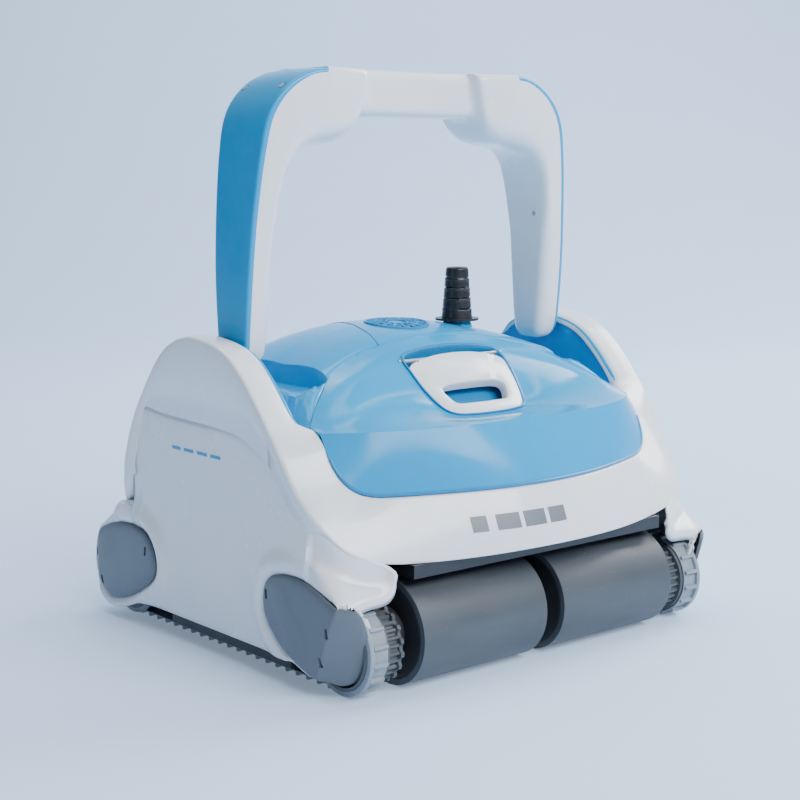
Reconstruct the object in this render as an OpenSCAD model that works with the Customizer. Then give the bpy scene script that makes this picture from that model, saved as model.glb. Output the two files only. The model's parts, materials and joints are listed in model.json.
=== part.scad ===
// Twin-track pool cleaner: a robot that scrubs and vacuums the floor of a pool.
// The front faces -Y, +X is the cleaner's left as it drives, Z is up, the floor is Z = 0.
// Left-hand names carry _l and sit at -X; right-hand names carry _r and sit at +X.

/* [Body] */

// width over the two white arches
body_w = 430; // [380:1:480]
// reach of the front and rear panels from the centre
body_reach = 210; // [190:1:230]
// height of the arch tops
arch_top = 266; // [230:1:300]
// height of the lower edge of the front and rear panels
skirt_z = 101; // [80:1:120]
// height of the hatch's lower seam
seam_z = 149; // [130:1:170]
// height of the crease between the hatch's face and its top
crease_z = 199.5; // [180:1:220]
// wall of the moulded shells
wall = 3; // [2:0.5:5]

/* [Wheels and brushes] */

// distance of the front axle ahead of the centre
front_axle = 157; // [140:1:170]
// distance of the rear axle behind the centre
rear_axle = 154; // [140:1:170]
// outer radius of the track, which is its axle's height too
track_r = 37; // [30:0.5:45]
// outer radius of a brush sleeve, which is its shaft's height too
brush_r = 43; // [35:0.5:50]
// inner edge of a track
track_in = 171; // [160:1:180]
// outer edge of a track
track_out = 190; // [182:1:196]
// number of lugs round one track
lugs = 60; // [40:1:80]
// inner end of a brush sleeve
brush_in = 10; // [6:1:20]
// outer end of a brush sleeve
brush_out = 142; // [130:1:150]

/* [Carrying handle] */

// height of the handle's top
handle_top = 485; // [440:1:520]
// height of the handle's pivot
pivot_z = 258; // [250:1:262]
// place of the pivot along the body
pivot_y = 2; // [-10:1:20]
// half the width over the handle's legs
leg_out = 181; // [170:1:182]

/* [Pump] */

// radius of the outlet grille
outlet_r = 29; // [20:1:40]
// place of the pump axis along the body
pump_y = 5; // [-10:1:30]

/* [Cable inlet] */

// inlet boot, across the body
gland_x = 70; // [50:1:90]
// inlet boot, along the body
gland_y = 2; // [-20:1:30]
// bore for the cable
cable_d = 9; // [6:0.5:12]

/* [Hidden] */

$fn = 72;
half_w = body_w / 2;
hinge_y = -189.2;
hinge_z = seam_z - 1.4;
cone_r = 340;
cone_slope = 0.46;
rim_in = 177;
rim_notch = 187;
channel_in = 131;
channel_z = 231;
side_x = 213;
wheel_r = track_r - 4.5;
gear_r = 30;
idler_r = 14;
motor_pinion_r = 8;
mesh_gap = 0.4;
idler_y = rear_axle - (gear_r + idler_r + mesh_gap) * cos(8);
idler_z = track_r + (gear_r + idler_r + mesh_gap) * sin(8);
motor_y = idler_y - idler_r - motor_pinion_r - mesh_gap;
motor_z = idler_z;
ring_in = 24;
brush_pinion_r = 17.5;

sky = [0.23, 0.66, 0.86];
sky_dark = [0.16, 0.55, 0.76];
white = [0.93, 0.94, 0.95];
grey = [0.55, 0.57, 0.59];
mid = [0.38, 0.40, 0.42];
dark = [0.20, 0.21, 0.23];
black = [0.08, 0.08, 0.09];
steel = [0.72, 0.73, 0.75];
brass = [0.80, 0.65, 0.30];

chassis_tub();
hood_front();
hood_rear();
top_frame();
side_panel_l();
side_panel_r();
rear_cover();
outlet_grille();
outlet_duct();
gland_seat();
cable_gland();
wheel_cover_fl();
wheel_cover_fr();
wheel_cover_rl();
wheel_cover_rr();
cover_screws();
track_l();
track_r_side();
track_frame_l();
track_frame_r();
wheel_fl();
wheel_fr();
wheel_rl();
wheel_rr();
wheel_bushes_fl();
wheel_bushes_fr();
wheel_bushes_rl();
wheel_bushes_rr();
stub_axles();
brush_core_fl();
brush_core_fr();
brush_core_rl();
brush_core_rr();
brush_sleeve_fl();
brush_sleeve_fr();
brush_sleeve_rl();
brush_sleeve_rr();
brush_bushes();
drive_motors();
motor_pinion_l();
motor_pinion_r();
idler_gear_l();
idler_gear_r();
idler_pins();
motor_case();
pump_motor();
impeller();
filter_frame();
filter_mesh();
hatch();
hatch_pins();
latch_handle();
latch_pin();
handle_shell();
handle_cover_l();
handle_cover_r();
handle_floats();
handle_pins();
handle_screws();

// ---- helpers ----

// one point of a smooth curve between b and c
function curve_point(a, b, c, d, t) =
  (2 * b + (c - a) * t + (2 * a - 5 * b + 4 * c - d) * t * t
    + (3 * b - 3 * c + d - a) * t * t * t) / 2;

// a smooth open curve through the points p, n steps to each span
function smooth(p, n = 3) =
  concat(
    [for (i = [0 : len(p) - 2], k = [0 : n - 1])
      curve_point(p[max(i - 1, 0)], p[i], p[i + 1], p[min(i + 2, len(p) - 1)], k / n)],
    [p[len(p) - 1]]
  );

// points moved by d
function moved(p, d) = [for (q = p) q + d];

// an outline a little larger about its middle c
function grown(p, c) = [for (q = p) c + (q - c) * 1.016];

// the points of a gear: n teeth between radii r0 and r1
function gear_points(n, r0, r1) =
  [for (i = [0 : n - 1], k = [0 : 3])
    let (a = 360 / n * (i + [0, 0.22, 0.5, 0.72][k]), r = (k == 1 || k == 2) ? r1 : r0)
      [r * cos(a), r * sin(a)]];

// a prism whose outline lies in the side view (y, z), from x0 to x1
module side_prism(outline, x0, x1) {
  translate([x0, 0, 0])
    rotate([90, 0, 90])
      linear_extrude(x1 - x0)
        polygon(outline);
}

// a prism whose outline lies in the front view (x, z), from y0 to y1
module front_prism(outline, y0, y1) {
  translate([0, y1, 0])
    rotate([90, 0, 0])
      linear_extrude(y1 - y0)
        polygon(outline);
}

// a round bar along X from x0 to x1, its axis at (y, z)
module bar_x(x0, x1, y, z, r) {
  translate([x0, y, z])
    rotate([0, 90, 0])
      cylinder(h = x1 - x0, r = r);
}

// a ring along X
module ring_x(x0, x1, y, z, r_out, r_in) {
  difference() {
    bar_x(x0, x1, y, z, r_out);
    bar_x(x0 - 1, x1 + 1, y, z, r_in);
  }
}

// the same piece on the right-hand side
module right_side() {
  mirror([1, 0, 0])
    children();
}

// a box between two corners
module block(lo, hi) {
  translate(lo)
    cube(hi - lo);
}

// ---- outlines ----

// outer edge of an arch seen from the side, rear foot to front foot
arch_edge = smooth([[127, 118], [126, 134], [123, 151], [110, 181], [94, 206], [61, 246], [44, 258], [18, arch_top],
  [-5, arch_top - 1], [-33, 260], [-72, 238], [-107, 203], [-120, 180], [-130, 160], [-140, 146],
  [-154, 133], [-170, 124]]);

// seam between an arch and its side panel, front foot to rear foot
panel_seam = [[-160, 127], [-132, 144], [-116, 166], [-108, 190], [-104, 201], [-60, 197],
  [0, 196], [60, 198], [86, 201], [100, 180], [111, 156],
  [110, 118]];

arch_outline = concat(arch_edge, panel_seam);

// top of the hatch on the centre line, crease to rear seam
hatch_top = smooth([[-164.7, crease_z], [-145, crease_z + 0.8], [-128, 202], [-112, 207],
  [-96, 219], [-75, 238.5], [-57, 249], [-36, 257.5]]);

// crown of the hatch seen from the front
crown = smooth([[-176.3, 229], [-118, 241], [-59, 252], [0, 258], [59, 252], [118, 241], [176.3, 229]]);

// top of the rear cover on the centre line, seam to rear edge
cover_top = smooth([[-42, 256], [-20, 262], [20, 266.5], [60, 263.5], [100, 251], [138, 228],
  [166, 200]]);

// ---- body ----

// a cone whose skin is the body's curved front, at a depth under that skin
module front_cone(depth) {
  z0 = 60;
  z1 = 290;
  r0 = cone_r + (skirt_z - z0) * cone_slope - depth;
  translate([0, cone_r - body_reach, z0])
    cylinder(h = z1 - z0, r1 = r0, r2 = r0 - (z1 - z0) * cone_slope, $fn = 128);
}

// the front panel: the skin between two cones
module panel_skin() {
  intersection() {
    difference() {
      front_cone(0);
      front_cone(wall);
    }
    block([-207, -body_reach - 1, skirt_z], [207, -102, seam_z - 0.6]);
  }
}

// a lip inside the panel's lower edge
module panel_lip() {
  intersection() {
    difference() {
      front_cone(1);
      front_cone(16);
    }
    block([-190, -body_reach - 1, skirt_z], [190, -130, skirt_z + 2.4]);
  }
}

// one arch: a hollow strip over the side of the body
module arch() {
  difference() {
    side_prism(arch_outline, rim_in, half_w);
    side_prism(concat(
      smooth([[86, 199], [70, 230], [42, 252], [16, 262], [-5, 261.5], [-30, 257], [-68, 236],
        [-98, 205]]), [[-98, 150], [86, 150]]), rim_in + wall, half_w - wall);
    // the strip is narrower along the handle's channel
    block([rim_in - 1, -69, 150], [rim_notch - wall, 69, 300]);
    bar_x(rim_in - 5, 198, pivot_y, pivot_z, 4.02);
  }
  // inner wall of the narrow part
  difference() {
    intersection() {
      side_prism(arch_outline, rim_notch - wall, rim_notch);
      block([rim_notch - wall, -69, 196], [rim_notch, 69, 300]);
    }
    bar_x(rim_in - 5, 198, pivot_y, pivot_z, 4.02);
  }
  // boss that holds a handle pin
  difference() {
    bar_x(rim_notch - wall, 200, pivot_y, pivot_z - 1, 7);
    bar_x(rim_in - 5, 198, pivot_y, pivot_z, 4.02);
  }
}

module top_frame() {
  color(white)
    difference() {
      union() {
        panel_skin();
        panel_lip();
        mirror([0, 1, 0]) {
          panel_skin();
          panel_lip();
        }
        arch();
        right_side()
          arch();
      }
      // relief that lets the hatch swing over the panel's upper edge
      bar_x(-60, 60, hinge_y, hinge_z, 2.2);
      for (x = [-40, 20])
        block([x - 0.6, hinge_y - 0.5, hinge_z - 6], [x + 20.6, hinge_y + 9, seam_z + 1]);
    }
}

// outline of a side panel seen from the side
side_outline = concat(
  moved(panel_seam, [0, -0.6]),
  [[110, 114], [150, 108], [178, 100.3], [190, 86], [190, 78], [140, 50], [92, 24], [60, 22],
   [-60, 21], [-106, 25], [-140, 50], [-184, 80], [-172, 108]]);

module side_panel_r() {
  color(white) {
    difference() {
      side_prism(side_outline, side_x - 4, side_x);
      side_prism(grown(front_cover_outline, [-138, 54]), side_x - 5, side_x + 1);
      side_prism(grown(rear_cover_outline, [143, 52]), side_x - 5, side_x + 1);
    }
    // shelves over the front and the rear wheel
    side_prism([[-184, 80], [-176, 100.3], [-118, 100.3], [-118, 97], [-173, 97], [-180, 80]],
      157, side_x - 3.9);
    side_prism([[190, 80], [180, 100.3], [118, 100.3], [118, 97], [177, 97], [186, 80]],
      157, side_x - 3.9);
    // posts that reach the track frame
    for (y = [-60, 0, 60])
      bar_x(196.2, side_x - 3.9, y, 40, 6);
  }
}

module side_panel_l() {
  right_side()
    side_panel_r();
}

// seam between the hatch and the rear cover, as a round wall
module seam_round(gap) {
  translate([0, -440, 100])
    cylinder(h = 200, r = 402 + gap, $fn = 180);
}

// solid of the hatch, its walls at a depth under the skin
module hatch_solid(depth) {
  intersection() {
    front_cone(depth + 0.1);
    side_prism(concat(moved(hatch_top, [0, -depth]),
      [[-36, 236 - depth * 4], [-57, 222 - depth * 4], [-96, 190 - depth * 4],
       [-116, 166 - depth * 4], [-122, seam_z + 0.8 - depth],
       [-200, seam_z + 0.8 - depth], [-200, crease_z - depth]]), -180, 180);
    front_prism(concat(moved(crown, [0, -depth]),
      [[176.3 - depth, 180], [174.5 - depth, 170], [170.5 - depth, 160], [160 - depth, 151.5],
       [150 - depth, 100], [depth - 150, 100], [depth - 160, 151.5], [depth - 170.5, 160],
       [depth - 174.5, 170], [depth - 176.3, 180]]), -210, 0);
    seam_round(-depth);
  }
}

// the latch's place on the hatch: its face tilts back at 43 degrees
latch_y = -68;
latch_z = 240.5;
latch_tilt = 43;

module latch_place() {
  translate([0, latch_y, latch_z])
    rotate([latch_tilt, 0, 0])
      children();
}

// bore for the latch's pin and slot for its tongue
module latch_fits() {
  latch_place() {
    rotate([0, 90, 0])
      cylinder(h = 130, r = 2.02, center = true, $fn = 48);
    block([-13, 6, -10], [13, 14, 3]);
  }
}

module hatch() {
  color(sky) {
    difference() {
      hatch_solid(0);
      hatch_solid(wall);
      // well under the latch
      latch_place()
        block([-56.5, -68, -12], [56.5, 6.5, 40]);
      latch_fits();
    }
    // floor and walls of the well
    difference() {
      intersection() {
        hatch_solid(0);
        latch_place()
          block([-59.5, -71, -24], [59.5, 9.5, 40]);
      }
      latch_place()
        block([-56.5, -68, -21], [56.5, 6.5, 40]);
      latch_fits();
    }
    // hinge knuckles
    for (x = [-40, 20])
      difference() {
        union() {
          block([x, hinge_y + 1, hinge_z], [x + 20, hinge_y + 8, seam_z + 4]);
          bar_x(x, x + 20, hinge_y + 0, hinge_z, 1.9);
        }
        bar_x(x - 1, x + 21, hinge_y, hinge_z, 1.05);
      }
  }
}

module hatch_pins() {
  color(steel)
    for (x = [-44, 16])
      bar_x(x, x + 28, hinge_y, hinge_z, 1);
}

// outline of the latch seen square to its face: wide at the rear, narrower in front
latch_outline = [[-55, 0], [-54, -12], [-51, -32], [-46, -52], [-42.5, -59.5], [-36, -64.5],
  [-20, -66.5], [20, -66.5], [36, -64.5], [42.5, -59.5], [46, -52], [51, -32], [54, -12],
  [55, 0], [48, 4.6], [-48, 4.6]];

module latch_handle() {
  color(white)
    latch_place()
      difference() {
        union() {
          translate([0, 0, -3])
            linear_extrude(9)
              polygon(latch_outline);
          // catch tongue
          block([-12, 4, -3], [12, 9, 1]);
        }
        // finger slot
        translate([0, 0, -5])
          linear_extrude(14)
            polygon([[-35, -35], [-32, -51], [-26, -53.5], [26, -53.5], [32, -51], [35, -35], [0, -32.5]]);
        translate([0, 0, 0])
          rotate([0, 90, 0])
            cylinder(h = 120, r = 2.05, center = true, $fn = 48);
      }
}

module latch_pin() {
  color(steel)
    latch_place()
      rotate([0, 90, 0])
        cylinder(h = 118, r = 2, center = true, $fn = 48);
}

// solid of the rear cover, its walls at a depth under the skin
module cover_solid(depth) {
  difference() {
    intersection() {
      side_prism(concat(moved(cover_top, [0, -depth]),
        [[184 - depth, 160], [186 - depth, seam_z + 0.5 - depth * 2], [-90, 149 - depth * 2],
         [-90, 250 - depth]]), -190, 190);
      front_prism(concat(
        [[-183.4 + depth, 140 - depth], [-183.4 + depth, channel_z - depth],
         [-channel_in - 1 + depth, channel_z - depth]],
        moved(smooth([[-channel_in + depth, 240.5], [-82, 257], [-31, 265], [0, 266.5], [31, 265],
          [82, 257], [channel_in - depth, 240.5]]), [0, -depth]),
        [[channel_in + 1 - depth, channel_z - depth], [183.4 - depth, channel_z - depth],
         [183.4 - depth, 140 - depth]]), -95, 200);
      mirror([0, 1, 0])
        front_cone(depth + 0.1);
    }
    seam_round(0.8 + depth);
    // the cover is narrower ahead of and behind the handle's channel
    for (m = [0, 1])
      mirror([m, 0, 0]) {
        block([176.3 - depth, -100, 100], [190, -68.4 + depth, 300]);
        block([176.3 - depth, 68.4 - depth, 100], [190, 220, 300]);
      }
  }
}

module rear_cover() {
  color(sky)
    difference() {
      union() {
        difference() {
          cover_solid(0);
          cover_solid(wall);
          // the middle is open below
          block([-170, -60, 120], [170, 150, 200]);
        }
        translate([gland_x, gland_y, 250])
          cylinder(h = 13.5, r1 = 27, r2 = 23);
      }
      translate([0, pump_y, 200])
        cylinder(h = 100, r = outlet_r + 0.4);
      translate([gland_x, gland_y, 200])
        cylinder(h = 100, r = 11);
      translate([gland_x, gland_y, 230])
        cylinder(h = 25.5, r = 20);
    }
}

module outlet_grille() {
  color(sky_dark)
    translate([0, pump_y, 262.2]) {
      difference() {
        cylinder(h = 3, r = outlet_r);
        for (r = [8, 15, 22])
          difference() {
            translate([0, 0, -1])
              cylinder(h = 5, r = r + 2.6);
            translate([0, 0, -2])
              cylinder(h = 7, r = r - 1);
            for (a = [0 : 45 : 135])
              rotate([0, 0, a])
                cube([80, 2.2, 20], center = true);
          }
      }
    }
}

module outlet_duct() {
  color(dark)
    translate([0, pump_y, 206])
      difference() {
        union() {
          cylinder(h = 48, r = 32);
          cylinder(h = 3, r = 35);
        }
        translate([0, 0, 3])
          cylinder(h = 60, r = 29.4);
        translate([0, 0, -1])
          cylinder(h = 10, r = 22);
      }
}

module gland_seat() {
  color(black)
    translate([gland_x, gland_y, 263.6])
      difference() {
        union() {
          cylinder(h = 2, r = 20);
          translate([0, 0, -6])
            cylinder(h = 7, r = 10.8);
        }
        translate([0, 0, -10])
          cylinder(h = 20, r = cable_d / 2);
      }
}

module cable_gland() {
  color(black)
    translate([gland_x, gland_y, 265.7])
      difference() {
        rotate_extrude()
          polygon([[cable_d / 2, 0], [14.5, 0], [14.5, 4], [13.4, 6], [13.4, 12], [12.6, 13.5],
            [12.6, 20], [11.8, 21.5], [11.8, 28], [11, 29.5], [11, 36], [10.2, 37.5], [10.2, 45],
            [9.2, 46.5], [cable_d / 2, 46.5]]);
        // slots that let the boot bend
        for (i = [0 : 3])
          translate([0, 0, 13 + i * 8])
            rotate([0, 0, i * 90])
              block([7, -20, -1], [20, 20, 1]);
      }
}

// ---- chassis ----

// the tub that everything is built on, and the arms that carry the brushes
module chassis_tub() {
  color(dark)
    difference() {
      chassis_body();
      for (s = [-1, 1])
        bar_x(s * 150 - 12, s * 150 + 12, idler_y, idler_z, 3.02);
    }
}

module chassis_body() {
  union() {
    difference() {
      block([-141, -109, 16], [141, 107, 148]);
      block([-138, -106, 20], [138, 104, 150]);
      // suction intakes under the filter
      for (s = [-1, 1])
        block([s * 62 - 48, -92, 10], [s * 62 + 48, -66, 30]);
      for (s = [-1, 1])
        bar_x(s * 139.5 - 10, s * 139.5 + 10, motor_y, motor_z, 5.3);
    }
    brush_arms(-front_axle, -108);
    brush_arms(rear_axle, 106);
    // rails that the side frames bolt to
    for (s = [-1, 1])
      translate([s * 145.6, 0, 34])
        cube([11, 120, 24], center = true);
  }
}

// two cheeks and a middle arm, from the tub's wall to a brush shaft
module brush_arms(axle, wall_y) {
  for (x = [-150.4, 144.4])
    difference() {
      union() {
        bar_x(x, x + 6, axle, brush_r, 21);
        side_prism([[axle, brush_r - 20], [wall_y, 22], [wall_y * 0.9, 22], [wall_y * 0.9, 88],
          [wall_y, 88], [axle, brush_r + 20]], x, x + 6);
      }
      bar_x(x - 1, x + 7, axle, brush_r, 15.5);
    }
  for (x = [-150.4, 138])
    block([x, min(wall_y, wall_y * 0.9), 22], [x + 12.4, max(wall_y, wall_y * 0.9), 88]);
  bar_x(-6.5, 6.5, axle, brush_r, 13);
  side_prism([[axle, brush_r - 11], [wall_y, 28], [wall_y, 80], [axle, brush_r + 11]], -6.5, 6.5);
  bar_x(-21, 21, axle, brush_r, 6);
}

// a hood over the front brushes
module hood_front() {
  color(black)
    hood(-1, front_axle);
}

module hood_rear() {
  color(black)
    hood(1, rear_axle);
}

module hood(s, axle) {
  difference() {
    block([-141, min(s * 109.3, s * 186), 90], [141, max(s * 109.3, s * 186), 100.6]);
    block([-138, min(s * 112.3, s * 183), 93], [138, max(s * 112.3, s * 183), 98]);
  }
}

// frame inside one track loop, which holds the stub axles
module track_frame_r() {
  color(dark) {
    difference() {
      block([151.3, -100, 9], [196, 76, 63]);
      block([154.3, -97, 12], [193, 73, 60]);
    }
    difference() {
      side_prism([[-front_axle - 14, 28], [-front_axle, 22], [rear_axle, 22], [rear_axle + 14, 28],
        [rear_axle + 14, 46], [rear_axle, 52], [-front_axle, 52], [-front_axle - 14, 46]], 192.6, 196);
      for (y = [-front_axle, rear_axle])
        bar_x(190, 200, y, track_r, 5.02);
    }
  }
}

module track_frame_l() {
  right_side()
    track_frame_r();
}

// ---- wheels and tracks ----

// the loop of a track at radius r, seen from the side
function loop_points(r, n) = concat(
  [for (i = [0 : n]) [-front_axle - r * sin(180 / n * i), track_r + r * cos(180 / n * i)]],
  [for (i = [0 : n]) [rear_axle + r * sin(180 / n * i), track_r - r * cos(180 / n * i)]]);

loop_run = front_axle + rear_axle;
loop_mid = track_r - 1.5;
loop_len = 2 * loop_run + 2 * PI * loop_mid;

// one lug of a track at a distance s along the loop
module lug(s) {
  half_turn = PI * loop_mid;
  if (s < loop_run)
    translate([0, -front_axle + s, track_r + loop_mid - 0.6])
      block([0, -3, -1], [15, 3, 1.9]);
  else if (s < loop_run + half_turn)
    translate([0, rear_axle, track_r])
      rotate([-(s - loop_run) / half_turn * 180, 0, 0])
        block([0, -3, loop_mid - 1.6], [15, 3, loop_mid + 1.3]);
  else if (s < 2 * loop_run + half_turn)
    translate([0, rear_axle - (s - loop_run - half_turn), track_r - loop_mid + 0.6])
      block([0, -3, -1.9], [15, 3, 1]);
  else
    translate([0, -front_axle, track_r])
      rotate([-180 - (s - 2 * loop_run - half_turn) / half_turn * 180, 0, 0])
        block([0, -3, loop_mid - 1.6], [15, 3, loop_mid + 1.3]);
}

module loop_solid(r, x0, x1) {
  bar_x(x0, x1, -front_axle, track_r, r);
  bar_x(x0, x1, rear_axle, track_r, r);
  block([x0, -front_axle, track_r - r], [x1, rear_axle, track_r + r]);
}

module track_r_side() {
  color(grey) {
    difference() {
      loop_solid(track_r - 2, track_in, track_out);
      loop_solid(wheel_r + 0.3, track_in - 1, track_out + 1);
    }
    // smooth outer rim
    difference() {
      loop_solid(track_r, track_out - 3.5, track_out);
      loop_solid(wheel_r + 0.3, track_in - 1, track_out + 1);
    }
    for (i = [0 : lugs - 1])
      translate([track_in + 1, 0, 0])
        lug(loop_len / lugs * (i + 0.5));
  }
}

module track_l() {
  right_side()
    track_r_side();
}

// a wheel with its ring gear and its flange, at the axle's place along the body
module wheel(axle) {
  color(mid)
    difference() {
      union() {
        // rim, web and hub
        ring_x(168, 191, axle, track_r, wheel_r, wheel_r - 3);
        ring_x(168, 171, axle, track_r, wheel_r, 8);
        ring_x(168, 190.6, axle, track_r, 11, 8);
        // ring gear
        translate([156, axle, track_r])
          rotate([90, 0, 90])
            linear_extrude(12.1)
              difference() {
                polygon(gear_points(30, gear_r - 2.4, gear_r));
                polygon(gear_points(32, ring_in + 1.6, ring_in));
              }
        // flange with short fingers
        translate([153, axle, track_r])
          rotate([90, 0, 90])
            linear_extrude(3.05)
              difference() {
                polygon(gear_points(18, 29.5, 32));
                circle(r = ring_in + 0.5);
              }
      }
      bar_x(150, 200, axle, track_r, 8);
    }
}

module wheel_fr() { wheel(-front_axle); }
module wheel_rr() { wheel(rear_axle); }
module wheel_fl() { right_side() wheel(-front_axle); }
module wheel_rl() { right_side() wheel(rear_axle); }

// the plain bush pressed into a wheel's hub
module wheel_bush(axle) {
  color(white)
    ring_x(169, 190.4, axle, track_r, 7.98, 5.06);
}

module wheel_bushes_fr() { wheel_bush(-front_axle); }
module wheel_bushes_rr() { wheel_bush(rear_axle); }
module wheel_bushes_fl() { right_side() wheel_bush(-front_axle); }
module wheel_bushes_rl() { right_side() wheel_bush(rear_axle); }

// four steel stub axles with heads
module stub_axles() {
  color(steel)
    for (s = [0, 1])
      mirror([s, 0, 0])
        for (y = [-front_axle, rear_axle]) {
          bar_x(169.5, 196.4, y, track_r, 5);
          bar_x(196.1, 198.6, y, track_r, 9);
        }
}

// ---- wheel covers ----

front_cover_outline = concat(
  smooth([[-82.5, 68], [-84, 77], [-104, 90], [-134, 92.4], [-160, 86.5], [-178, 78.5]]),
  smooth([[-186, 66], [-190, 50], [-188, 34], [-179, 20]]),
  smooth([[-172, 14.5], [-150, 16], [-128, 22], [-110, 31], [-93, 49]]));

rear_cover_outline = [[80.5, 52], [80.3, 68], [86, 78], [96, 86.5], [112, 90.6], [128, 90.6], [146, 88],
  [164, 82.6], [177, 76], [185, 64], [189, 48], [184, 35], [172, 24.5], [158, 17.5], [140, 19.5],
  [122, 25], [103, 35], [89, 44]];

// cover plate, rim round the wheel, and three slots
module wheel_cover(outline, axle, slots, s) {
  color(grey)
    difference() {
      union() {
        side_prism(outline, 208.6, half_w - 0.5);
        intersection() {
          ring_x(193.5, 209, axle, track_r + 2, 45.5, 39.7);
          side_prism([[axle + s * 50, 8], [axle + s * 50, 76], [axle + s * 6, 76],
            [axle + s * 6, 8]], 190, 212);
          block([190, -199, 8], [212, 199, 120]);
        }
      }
      for (q = slots)
        translate([half_w - 3, q[0], q[1]])
          rotate([0, 90, 0])
            rotate([0, 0, q[2]])
              scale([1, 0.62, 1])
                cylinder(h = 6, r = 2.6, $fn = 12);
      bar_x(200, 212, axle, track_r, 10);
    }
}

front_slots = [[-88.5, 70.5, 0], [-168, 56, 0], [-159, 31.5, 0]];
rear_slots = [[94, 71, 0], [181, 55.5, 0], [175.5, 32, 0]];

module wheel_cover_fr() { wheel_cover(front_cover_outline, -front_axle, front_slots, -1); }
module wheel_cover_rr() { wheel_cover(rear_cover_outline, rear_axle, rear_slots, 1); }
module wheel_cover_fl() { right_side() wheel_cover_fr(); }
module wheel_cover_rl() { right_side() wheel_cover_rr(); }

// screws that hold the covers to the track frames
module cover_screws() {
  color(steel)
    for (m = [0, 1])
      mirror([m, 0, 0])
        for (q = [[-118, 36], [116, 36]]) {
          bar_x(197, 208.4, q[0], q[1], 2);
          bar_x(205.6, 208.4, q[0], q[1], 3.6);
        }
}

// ---- brushes ----

// a hollow core, closed at both ends, with the pinion that the wheel's ring gear turns
module brush_core(axle) {
  color(black)
    difference() {
      union() {
        bar_x(brush_in + 1, brush_out - 1, axle, brush_r, 37.9);
        bar_x(brush_out - 2, 167, axle, brush_r, 12);
        translate([157, axle, brush_r])
          rotate([90, 0, 90])
            linear_extrude(9)
              polygon(gear_points(22, brush_pinion_r - 1.6, brush_pinion_r));
      }
      bar_x(brush_in + 5, brush_out - 5, axle, brush_r, 34);
      bar_x(0, brush_in + 20, axle, brush_r, 6.06);
      bar_x(brush_out - 10, 170, axle, brush_r, 8);
      // recess in each end face
      ring_x(brush_in, brush_in + 2.5, axle, brush_r, 34, 15);
      ring_x(brush_out - 2.5, brush_out, axle, brush_r, 34, 16);
    }
}

module brush_core_fr() { brush_core(-front_axle); }
module brush_core_rr() { brush_core(rear_axle); }
module brush_core_fl() { right_side() brush_core(-front_axle); }
module brush_core_rl() { right_side() brush_core(rear_axle); }

// the moulded sleeve that scrubs
module brush_sleeve(axle) {
  color(mid)
    ring_x(brush_in, brush_out, axle, brush_r, brush_r, 38);
}

module brush_sleeve_fr() { brush_sleeve(-front_axle); }
module brush_sleeve_rr() { brush_sleeve(rear_axle); }
module brush_sleeve_fl() { right_side() brush_sleeve(-front_axle); }
module brush_sleeve_rl() { right_side() brush_sleeve(rear_axle); }

// plain bushes in the four cheeks
module brush_bushes() {
  color(white)
    for (m = [0, 1])
      mirror([m, 0, 0])
        for (y = [-front_axle, rear_axle])
          ring_x(144, 151, y, brush_r, 15.48, 12.06);
}

// ---- drive ----

module drive_motors() {
  color(steel)
    for (m = [0, 1])
      mirror([m, 0, 0])
        difference() {
          union() {
            bar_x(58, 124, motor_y, motor_z, 11.8);
            bar_x(124, 130, motor_y, motor_z, 8);
          }
          bar_x(118, 131, motor_y, motor_z, 3.06);
        }
}

// pinion and its shaft
module motor_pinion_r() {
  color(brass) {
    bar_x(119, 168, motor_y, motor_z, 3);
    translate([157, motor_y, motor_z])
      rotate([90, 0, 90])
        linear_extrude(10)
          polygon(gear_points(12, motor_pinion_r - 1.6, motor_pinion_r));
  }
}

module motor_pinion_l() {
  right_side()
    motor_pinion_r();
}

module idler_gear_r() {
  color(mid)
    difference() {
      translate([156.5, idler_y, idler_z])
        rotate([90, 0, 90])
          linear_extrude(10.5)
            polygon(gear_points(20, idler_r - 1.6, idler_r));
      bar_x(150, 170, idler_y, idler_z, 3.05);
    }
}

module idler_gear_l() {
  right_side()
    idler_gear_r();
}

// steel pins that the idlers turn on
module idler_pins() {
  color(steel)
    for (m = [0, 1])
      mirror([m, 0, 0])
        bar_x(144.6, 168.5, idler_y, idler_z, 3);
}

// the sealed case of the drive motors
module motor_case() {
  color(mid) {
    difference() {
      block([-137, -22, 20.2], [137, 103, 108]);
      block([-134, -19, 23.2], [134, 100, 105]);
      for (s = [-1, 1])
        bar_x(s * 135.5 - 4, s * 135.5 + 4, motor_y, motor_z, 3.5);
    }
    // rubber-lined saddles for the motors
    for (s = [-1, 1])
      difference() {
        block([s * 90 - 8, motor_y - 13, 23], [s * 90 + 8, motor_y + 12.3, motor_z]);
        bar_x(s * 90 - 9, s * 90 + 9, motor_y, motor_z, 11.9);
      }
  }
}

module pump_motor() {
  color(steel)
    translate([0, pump_y, 0])
      difference() {
        union() {
          translate([0, 0, 108.2])
            cylinder(h = 88, r = 26);
          translate([0, 0, 196])
            cylinder(h = 8, r = 9);
        }
        translate([0, 0, 180])
          cylinder(h = 40, r = 3.06);
      }
}

// four-blade impeller on its shaft
module impeller() {
  color(dark)
    translate([0, pump_y, 0]) {
      translate([0, 0, 182])
        cylinder(h = 58, r = 3);
      translate([0, 0, 214])
        cylinder(h = 20, r = 8);
      for (a = [0 : 90 : 270])
        rotate([0, 0, a])
          translate([0, 0, 224])
            rotate([38, 0, 0])
              translate([6, -9, -1])
                cube([20.5, 18, 2]);
    }
}

// ---- filter ----

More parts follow.
